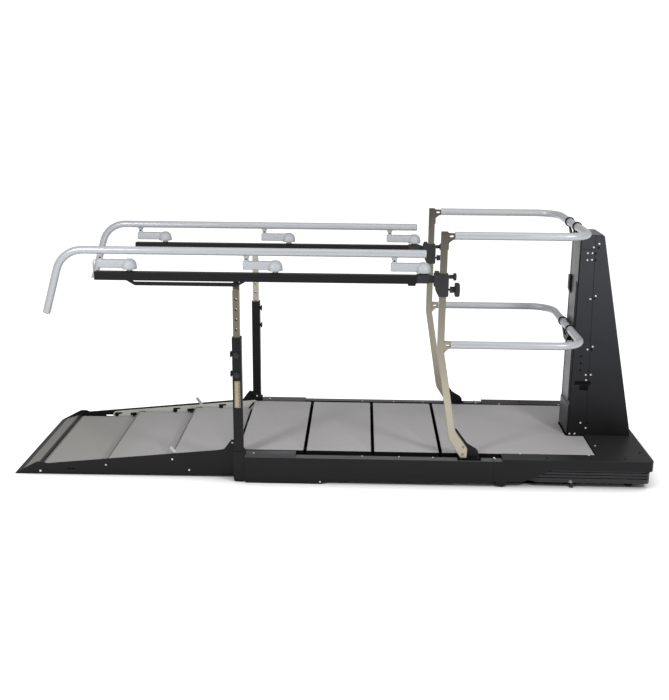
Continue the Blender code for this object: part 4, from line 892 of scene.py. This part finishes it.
class STAIRS_OT_mats(bpy.types.Operator):
    """Lays the grey anti-slip sheets on treads, platform and ramp"""

    bl_idname = "stairs.mats"
    bl_label = "Mats"

    def execute(self, context):
        thick = context.scene.stairs_settings.mat_thick
        half = TREAD_HALF - SHEET_INSET
        low, high = TREAD_TOP - SHEET_SINK, TREAD_TOP + thick
        for i, (front, rear) in enumerate(TREADS, 1):
            ring = rounded_rectangle(front + SHEET_INSET, rear - SHEET_INSET, -half, half, SHEET_CORNER)
            make_piece(f"tread_{i}_mat", [pad(ring, low, high, SHEET_EASE)], "mat", f"tread_{i}")
        notch = NOTCH_HALF + NOTCH_CUT
        deck = [(DECK_MAT_START, half), (DECK_MAT_END, half), (DECK_MAT_END, notch)]
        deck += [(NOTCH_START + NOTCH_CUT, notch), (NOTCH_START, NOTCH_HALF)]
        ring = np.array([(x, -y) for x, y in deck] + deck[::-1]) + np.array([TIP, 0.0])
        self.panel_mats(thick)
        make_piece("platform_mat", [pad(ring, low, high, SHEET_EASE)], "mat", "platform")
        return {"FINISHED"}

    def panel_mats(self, thick):
        half = PANEL_HALF - SHEET_INSET
        for i, (front, rear, top) in enumerate(PANELS, 1):
            body, low = f"ramp_panel_{i}", top - SHEET_SINK
            ring = rounded_rectangle(front + PANEL_MAT_START, rear - SHEET_INSET, -half, half, SHEET_CORNER)
            make_piece(f"{body}_mat", [pad(ring, low, top + thick, SHEET_EASE)], "ramp_mat", body)
            ring = rounded_rectangle(front + STRIP_START, front + STRIP_END, -half, half, 0.001)
            strip = pad(ring, low, top + thick * STRIP_RISE, 0.0005)
            make_piece(f"{body}_edge", [strip], "rim", body)


def lobed_knob(x, y, z, sign, neck, hub, head, lobes, dip, ease=0.34):
    """A hand knob about the X axis: neck, hub and head as (radius, end of its run).

    The head's rim radius is R * (1 - dip * (1 - cos(lobes * t)) / 2), turned over its edge along a
    quarter circle, and a shallow recess is sunk in its end.
    """
    turn = np.linspace(0, math.pi / 2, 6)
    rim = (head[1] - hub[1]) * ease
    flat = head[0] - rim
    recess = [head[1] - 0.0006, head[1] - 0.0022, head[1] - 0.0022]
    heights = np.concatenate([
        [0.0, neck[1], neck[1], hub[1] - 0.001],
        hub[1] + rim * (1 - np.cos(turn)),
        head[1] - rim * (1 - np.sin(turn)),
        recess,
    ])
    radii = np.concatenate([
        [neck[0], neck[0], hub[0], hub[0] * 0.92],
        flat + rim * np.sin(turn),
        flat + rim * np.cos(turn),
        [head[0] * 0.46, head[0] * 0.40, head[0] * 0.10],
    ])
    lobed = np.concatenate([np.zeros(4), np.ones(12), np.zeros(3)])[:, None]
    t = np.arange(72) * 2 * math.pi / 72
    r = radii[:, None] * (1 - lobed * dip * (1 - np.cos(lobes * t)) / 2)
    run = np.broadcast_to((x + TIP + sign * heights)[:, None], r.shape)
    return closed_grid(np.stack([run, y + r * np.cos(t), z + r * np.sin(t)], axis=-1))


# Each knob's neck, hub and head as radius and end of its run, its lobes and their depth
POST_KNOB = ((0.0085, 0.0006), (0.0095, 0.0042), (0.0165, 0.0120), 6, 0.16)
CLAMP_KNOBS = {
    "small": ((0.0050, 0.0030), (0.0105, 0.0210), (0.0182, 0.0368), 18, 0.05),
    "large": ((0.0050, 0.0075), (0.0160, 0.0300), (0.0360, 0.0540), 6, 0.11),
}
CLAMP_KNOB_HEIGHTS = {"small": 1.060, "large": 0.997}
CLAMP_FACE_X = 2.1793


class STAIRS_OT_knobs(bpy.types.Operator):
    """Moulds the post knobs and the clamp knobs"""

    bl_idname = "stairs.knobs"
    bl_label = "Knobs"

    def execute(self, context):
        for name, side in SIDES:
            y, face = side * RAIL_Y, POST_X + side * POST_HALF
            for i, z in enumerate(POST_KNOB_HEIGHTS[name], 1):
                node = f"post_knob_{name}_{i}"
                part = lobed_knob(face, y, z, side, *POST_KNOB)
                make_piece(f"{node}_grip", [part], "plastic", node, [node])
            for size, z in CLAMP_KNOB_HEIGHTS.items():
                node = f"clamp_knob_{size}_{name}"
                part = lobed_knob(CLAMP_FACE_X, y, z, 1, *CLAMP_KNOBS[size])
                make_piece(f"{node}_grip", [part], "plastic", node, [node])
        return {"FINISHED"}


# The tower's side: screws and plugged holes as x and z
TOWER_FACE = 0.105
TOWER_SCREW_SCALE = 0.75
TOWER_SCREW_HIGH = 0.0026
TOWER_SCREWS = (
    (2.963, 1.173), (2.937, 1.155), (2.909, 1.125), (2.932, 1.125), (2.909, 1.090), (2.932, 1.091),
    (2.965, 0.904), (2.939, 0.888), (2.970, 0.635), (2.944, 0.620), (2.945, 0.482), (2.971, 0.483),
    (2.949, 0.453), (2.937, 0.216), (2.883, 0.154), (2.910, 0.155), (2.966, 0.188),
)
TOWER_HOLES = (
    (2.960, 1.153), (2.947, 1.123), (2.949, 1.089), (2.959, 0.891), (2.965, 0.619), (2.914, 0.583),
    (2.915, 0.544), (2.915, 0.507), (2.972, 0.213),
)
HOLE_RIM = ((0.0056, -0.0003), (0.0056, 0.0005), (0.0048, 0.0007), (0.0044, 0.0004), (0.0010, 0.0002))
# Each seam as two ends and half its width
TOWER_SEAMS = (
    ((2.943, 1.208), (2.968, 0.155), 0.0008),
    ((2.8735, 1.145), (2.938, 1.145), 0.0010),
    ((2.8725, 1.205), (2.8725, 0.070), 0.0016),
)
# Two dark patches low on the tower's side, as runs of x at a height with half a height
TOWER_DARK_PATCHES = ((2.890, 2.974, 0.438, 0.010), (2.918, 2.962, 0.412, 0.014))


class STAIRS_OT_tower_details(bpy.types.Operator):
    """Adds the tower's screws, plugged holes, cover joints and two dark patches"""

    bl_idname = "stairs.tower_details"
    bl_label = "Tower details"

    def execute(self, context):
        radius = context.scene.stairs_settings.screw_radius * TOWER_SCREW_SCALE
        for name, side in SIDES:
            out, sunk = (0, side, 0), side * (TOWER_FACE - 0.0001)
            heads = [at(x, sunk, z) for x, z in TOWER_SCREWS]
            part = screw_heads(heads, out, radius, TOWER_SCREW_HIGH)
            make_piece(f"tower_screws_{name}", [part], "screw", "base")
            holes = [at(x, sunk, z) for x, z in TOWER_HOLES]
            plugs = lathe(holes, out, HOLE_RIM, SCREW_SIDES)
            make_piece(f"tower_holes_{name}", [plugs], "hole", "base")
            proud, patch_face = side * (TOWER_FACE + 0.0001), side * (TOWER_FACE + 0.0005)
            seams = []
            for (x0, z0), (x1, z1), half in TOWER_SEAMS:
                run = straight(at(x0, proud, z0), at(x1, proud, z1))
                seams.append(sweep(run, box_section(half, 0.0003, 0.0001, 2), out))
            for x0, x1, z, half in TOWER_DARK_PATCHES:
                run = straight(at(x0, patch_face, z), at(x1, patch_face, z))
                seams.append(sweep(run, box_section(half, 0.0012, 0.0010, 3), out, 0.003))
            make_piece(f"tower_seams_{name}", seams, "hole", "base")
        return {"FINISHED"}


# Screws of the upper faces: x, distance from the middle, height and head radius
TOP_SCREWS = {
    "screw": (
        (1.780, 0.4455, 0.1380, 0.0042), (1.965, 0.4455, 0.1380, 0.0042), (2.135, 0.4455, 0.1380, 0.0042),
        (2.445, 0.4455, 0.1380, 0.0042), (1.234, 0.4460, 0.1450, 0.0050), (2.577, 0.3990, 0.1480, 0.0052),
        (2.438, 0.4610, 0.1480, 0.0052), (2.921, 0.4040, 0.1480, 0.0052), (2.983, 0.2660, 0.1480, 0.0048),
    ),
    "dark_screw": (
        (2.703, 0.4480, 0.1480, 0.0065), (3.094, 0.4470, 0.1480, 0.0065), (3.189, 0.3560, 0.1480, 0.0060),
    ),
}
# Screws of the outer faces, in the same order
SIDE_SCREWS = {
    "screw": (
        (0.132, 0.4170, 0.0165, 0.0060), (0.472, 0.4170, 0.0550, 0.0048), (0.814, 0.4170, 0.0920, 0.0050),
        (0.899, 0.4170, 0.0350, 0.0050), (1.124, 0.4215, 0.1890, 0.0050), (1.161, 0.4215, 0.1690, 0.0050),
    ),
    "dark_screw": ((0.161, 0.4170, 0.0220, 0.0040), (1.157, 0.4725, 0.0490, 0.0055)),
}
# Screws on the inner face of each post's gusset, in the same order
INNER_SCREWS = {"screw": ((1.124, 0.4173, 0.189, 0.0050), (1.161, 0.4173, 0.169, 0.0050)), "dark_screw": ()}
SCREW_SLOTS = {"screw": "zinc", "dark_screw": "black"}
FOOT_BOLTS = ((2.282, 0.202), (2.280, 0.163))
FOOT_FACE = 0.4595
FOOT_BOLT_RADIUS = 0.0046
WASHER_RIM = ((0.0060, -0.0003), (0.0064, 0.0003), (0.0060, 0.0007), (0.0040, 0.0007))


class STAIRS_OT_screws(bpy.types.Operator):
    """Sets the screws of the base, the ramp sides, the post brackets and the uprights"""

    bl_idname = "stairs.screws"
    bl_label = "Screws"

    def execute(self, context):
        scale = context.scene.stairs_settings.screw_radius / SCREW_RADIUS
        for name, side in SIDES:
            out = (0, side, 0)
            tables = ((TOP_SCREWS, (0, 0, 1)), (SIDE_SCREWS, out), (INNER_SCREWS, (0, -side, 0)))
            for material, slot in SCREW_SLOTS.items():
                parts = []
                for table, axis in tables:
                    for x, y, z, radius in table[material]:
                        parts.append(screw_heads(at(x, side * y, z), axis, radius * scale))
                make_piece(f"{material}s_{name}", parts, material, "base")
            feet = [at(x, side * FOOT_FACE, z) for x, z in FOOT_BOLTS]
            bolts = screw_heads(feet, out, FOOT_BOLT_RADIUS * scale)
            make_piece(f"upright_bolts_{name}", [bolts], "upright", "platform")
            washers = lathe(feet, out, WASHER_RIM, SCREW_SIDES)
            make_piece(f"upright_washers_{name}", [washers], "hole", "platform")
        return {"FINISHED"}


# Painted shade: a thin black sheet standing under each side of the treads, so the gaps between them read
# dark
SHADE_SHEET_START, SHADE_SHEET_END = 1.600, 2.450
SHADE_SHEET_Y = 0.4285
SHADE_SHEET_HALF = 0.001
SHADE_SHEET_LOW, SHADE_SHEET_HIGH = 0.0040, 0.0380
# Dark caps by the guide bolts, as x and z
LINK_PINS = ((0.331, 0.049), (0.679, 0.079), (0.951, 0.107))
LINK_PIN_Y = 0.3930
PIN_RIM = ((0.0105, 0.0006), (0.0120, 0.0000), (0.0120, -0.0018), (0.0100, -0.0026), (0.0030, -0.0028))
# The dark block beside the link bar near the rear of the first two panels: x, z and half its length
LINK_BLOCKS = ((0.433, 0.0545, 0.017), (0.771, 0.0850, 0.019))
BLOCK_Y = 0.3890
BLOCK_SLOPE = 0.1
BLOCK_SECTION = (0.0075, 0.0018, 0.0008, 3)
BLOCK_STEM = 0.0130
STEM_SECTION = (0.0030, 0.0015, 0.0005, 3)
COLLAR_Y = 0.4694
COLLAR = ((0.0150, 0.0), (0.0165, 0.0030), (0.0150, 0.0072), (0.0105, 0.0092), (0.0030, 0.0098))
MARK_START, MARK_PITCH, MARKS = 0.396, 0.0072, 18
MARK_Y = 0.46305
MARK_ENDS = (1.1645, 1.1715)
MARK_SECTION = (0.0015, 0.0003, 0.0001, 2)


def link_block(side, x, z, half, top):
    """A block beside the link bar, on a stem down to its panel's pin."""
    y, rise = side * BLOCK_Y, half * BLOCK_SLOPE
    block = straight(at(x - half, y, z - rise), at(x + half, y, z + rise))
    stem = straight(at(x, y, top - BLOCK_STEM), at(x, y, z))
    return [
        sweep(block, box_section(*BLOCK_SECTION), (0, 1, 0)),
        sweep(stem, box_section(*STEM_SECTION), (0, 1, 0)),
    ]


def height_mark(side, z):
    """One line of the scale on the sliding post, seen through the tube's window."""
    run = straight(*(at(x, side * MARK_Y, z) for x in MARK_ENDS))
    return sweep(run, box_section(*MARK_SECTION), (0, side, 0))


class STAIRS_OT_small_parts(bpy.types.Operator):
    """Adds the black sheets of painted shade under the treads, the link pins and blocks, the knob collars
    and the height marks
    """

    bl_idname = "stairs.small_parts"
    bl_label = "Small parts"

    def execute(self, context):
        for name, side in SIDES:
            out, y = (0, side, 0), side * SHADE_SHEET_Y
            # Painted shade: a black sheet that darkens the gaps under the treads
            ring = rounded_rectangle(SHADE_SHEET_START, SHADE_SHEET_END, y - SHADE_SHEET_HALF, y + SHADE_SHEET_HALF, 0.0005)
            make_piece(f"shade_sheet_{name}", [pad(ring, SHADE_SHEET_LOW, SHADE_SHEET_HIGH, 0.0005)], "black", "base")
            for i, (x, z, half) in enumerate(LINK_BLOCKS, 1):
                parts = link_block(side, x, z, half, PANELS[i - 1][2])
                make_piece(f"link_block_{name}_{i}", parts, "hole", f"ramp_panel_{i}")
            pins = lathe([at(x, side * LINK_PIN_Y, z) for x, z in LINK_PINS], out, PIN_RIM, SCREW_SIDES)
            make_piece(f"link_pins_{name}", [pins], "dark_screw", "base")
            places = [at(POST_X, side * COLLAR_Y, z) for z in POST_KNOB_HEIGHTS[name]]
            make_piece(f"knob_collars_{name}", [lathe(places, out, COLLAR, 24)], "plastic", "base")
            marks = [height_mark(side, z) for z in MARK_START + MARK_PITCH * np.arange(MARKS)]
            body = frame["nodes"][f"post_inner_{name}"]["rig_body"]
            make_piece(f"height_marks_{name}", marks, "hole", body)
        return {"FINISHED"}


# Stage
FLOOR_HALF = 12.0
FLOOR_Z = -0.0005
FLOOR_COLOUR = (0.80, 0.80, 0.80, 1)
WHITE = (1, 1, 1, 1)
# How far the contact shadow reaches, its span of occlusion, and the glow where nothing is near
SHADOW_REACH = 0.45
SHADOW_SPAN = (0.44, 1.0)
FLOOR_GLOW = 0.74
SOFT_STRENGTH = 0.50
# Each lamp's place, diameter and power, and the point that all of them look at
SOFTBOXES = {
    "overhead_softbox": ((0.0, -0.8, 3.6), 3.4, 24.0),
    "left_softbox": ((-1.95, -2.45, 2.2), 0.6, 40.0),
    "right_softbox": ((2.35, -2.45, 2.2), 0.6, 42.0),
}
LAMP_AIM = (0.1, 0.0, 0.5)
# The photograph's viewpoint from the ramp tip, its turns in radians, and its focal length in pixels
CAMERA_PLACE = (1.7598, -5.1081, 1.9527)
CAMERA_YAW, CAMERA_PITCH, CAMERA_ROLL = 0.0264, 0.2646, 0.0081
FOCAL_PIXELS = 989.1
PHOTO_PIXELS = 700.0
SENSOR = 36.0


class STAIRS_OT_stage(bpy.types.Operator):
    """Sets the floor, the soft lights, the white background and the camera"""

    bl_idname = "stairs.stage"
    bl_label = "Stage"

    def execute(self, context):
        scene = context.scene
        mesh = bpy.data.meshes.new("studio_floor")
        turns = ((-1, -1), (1, -1), (1, 1), (-1, 1))
        corners = [(x * FLOOR_HALF, y * FLOOR_HALF, FLOOR_Z) for x, y in turns]
        mesh.from_pydata(corners, [], [(0, 1, 2, 3)])
        floor = bpy.data.objects.new("studio_floor", mesh)
        scene.collection.objects.link(floor)
        mesh.materials.append(self.floor_material())
        self.world(scene)
        self.lamps(scene)
        self.camera(scene)
        scene.view_settings.view_transform = "Standard"
        return {"FINISHED"}

    def floor_material(self):
        """Pale paper that glows to white where nothing is near it, for camera and reflections only."""
        material = bpy.data.materials.new("pale_floor")
        material.use_nodes = True
        tree = material.node_tree
        tree.nodes.clear()
        out = tree.nodes.new("ShaderNodeOutputMaterial")
        paper = node_of(tree, "ShaderNodeBsdfDiffuse", Color=FLOOR_COLOUR)
        glow = node_of(tree, "ShaderNodeEmission", Color=WHITE)
        near = node_of(tree, "ShaderNodeAmbientOcclusion", Distance=SHADOW_REACH)
        near.samples = 16
        clear = ranged(tree, near.outputs["AO"], 0.0, FLOOR_GLOW, SHADOW_SPAN)
        tree.links.new(clear, glow.inputs["Strength"])
        both = tree.nodes.new("ShaderNodeAddShader")
        path = tree.nodes.new("ShaderNodeLightPath")
        either = tree.nodes.new("ShaderNodeMath")
        either.operation = "MAXIMUM"
        mix = tree.nodes.new("ShaderNodeMixShader")
        tree.links.new(paper.outputs[0], both.inputs[0])
        tree.links.new(glow.outputs[0], both.inputs[1])
        tree.links.new(path.outputs["Is Camera Ray"], either.inputs[0])
        tree.links.new(path.outputs["Is Glossy Ray"], either.inputs[1])
        tree.links.new(either.outputs[0], mix.inputs[0])
        tree.links.new(paper.outputs[0], mix.inputs[1])
        tree.links.new(both.outputs[0], mix.inputs[2])
        tree.links.new(mix.outputs[0], out.inputs["Surface"])
        return material

    def world(self, scene):
        """Soft light from all round, white to the camera."""
        world = bpy.data.worlds.new("studio")
        scene.world = world
        world.use_nodes = True
        tree = world.node_tree
        tree.nodes.clear()
        out = tree.nodes.new("ShaderNodeOutputWorld")
        soft = node_of(tree, "ShaderNodeBackground", Color=WHITE, Strength=SOFT_STRENGTH)
        white = node_of(tree, "ShaderNodeBackground", Color=WHITE, Strength=1.0)
        path = tree.nodes.new("ShaderNodeLightPath")
        mix = tree.nodes.new("ShaderNodeMixShader")
        tree.links.new(path.outputs["Is Camera Ray"], mix.inputs[0])
        tree.links.new(soft.outputs[0], mix.inputs[1])
        tree.links.new(white.outputs[0], mix.inputs[2])
        tree.links.new(mix.outputs[0], out.inputs["Surface"])

    def lamps(self, scene):
        for name, (place, size, power) in SOFTBOXES.items():
            light = bpy.data.lights.new(name, "AREA")
            light.shape = "DISK"
            light.size = size
            light.energy = power
            lamp = bpy.data.objects.new(name, light)
            lamp.location = place
            aim = Vector(LAMP_AIM) - Vector(place)
            lamp.rotation_euler = aim.to_track_quat("-Z", "Y").to_euler()
            lamp.visible_camera = False
            scene.collection.objects.link(lamp)

    def camera(self, scene):
        yaw, pitch, roll = CAMERA_YAW, CAMERA_PITCH, CAMERA_ROLL
        ahead = Vector((-math.sin(yaw) * math.cos(pitch), math.cos(yaw) * math.cos(pitch), -math.sin(pitch)))
        level = Vector((math.cos(yaw), math.sin(yaw), 0.0))
        above = level.cross(ahead)
        right = level * math.cos(roll) + above * math.sin(roll)
        up = above * math.cos(roll) - level * math.sin(roll)
        data = bpy.data.cameras.new("photo_camera")
        data.lens = SENSOR * FOCAL_PIXELS / PHOTO_PIXELS
        data.sensor_width = SENSOR
        camera = bpy.data.objects.new("photo_camera", data)
        turn = Matrix((right, up, -ahead)).transposed()
        camera.matrix_world = Matrix.Translation(at(*CAMERA_PLACE)) @ turn.to_4x4()
        scene.collection.objects.link(camera)
        scene.camera = camera


OPERATORS = (
    STAIRS_OT_finishes,
    STAIRS_OT_frame_parts,
    STAIRS_OT_rails,
    STAIRS_OT_uprights,
    STAIRS_OT_swing_arms,
    STAIRS_OT_mats,
    STAIRS_OT_knobs,
    STAIRS_OT_tower_details,
    STAIRS_OT_screws,
    STAIRS_OT_small_parts,
    STAIRS_OT_stage,
)


class STAIRS_PT_panel(bpy.types.Panel):
    """Lists the stairs' settings and its pieces"""

    bl_idname = "STAIRS_PT_panel"
    bl_label = "Rehabilitation Stairs"
    bl_space_type = "VIEW_3D"
    bl_region_type = "UI"
    bl_category = "Stairs"

    def draw(self, context):
        for group in (context.scene.stairs_settings, context.scene.stairs_colours):
            for name in group.__annotations__:
                self.layout.prop(group, name)
        for operator in OPERATORS:
            self.layout.operator(operator.bl_idname)


CLASSES = (StairsSettings, StairsColours, *OPERATORS, STAIRS_PT_panel)


def register():
    for cls in CLASSES:
        bpy.utils.register_class(cls)
    bpy.types.Scene.stairs_settings = bpy.props.PointerProperty(type=StairsSettings)
    bpy.types.Scene.stairs_colours = bpy.props.PointerProperty(type=StairsColours)


def unregister():
    del bpy.types.Scene.stairs_colours
    del bpy.types.Scene.stairs_settings
    for cls in reversed(CLASSES):
        bpy.utils.unregister_class(cls)


def main():
    register()
    for operator in OPERATORS:
        group, name = operator.bl_idname.split(".")
        getattr(getattr(bpy.ops, group), name)()


if __name__ == "__main__":
    main()
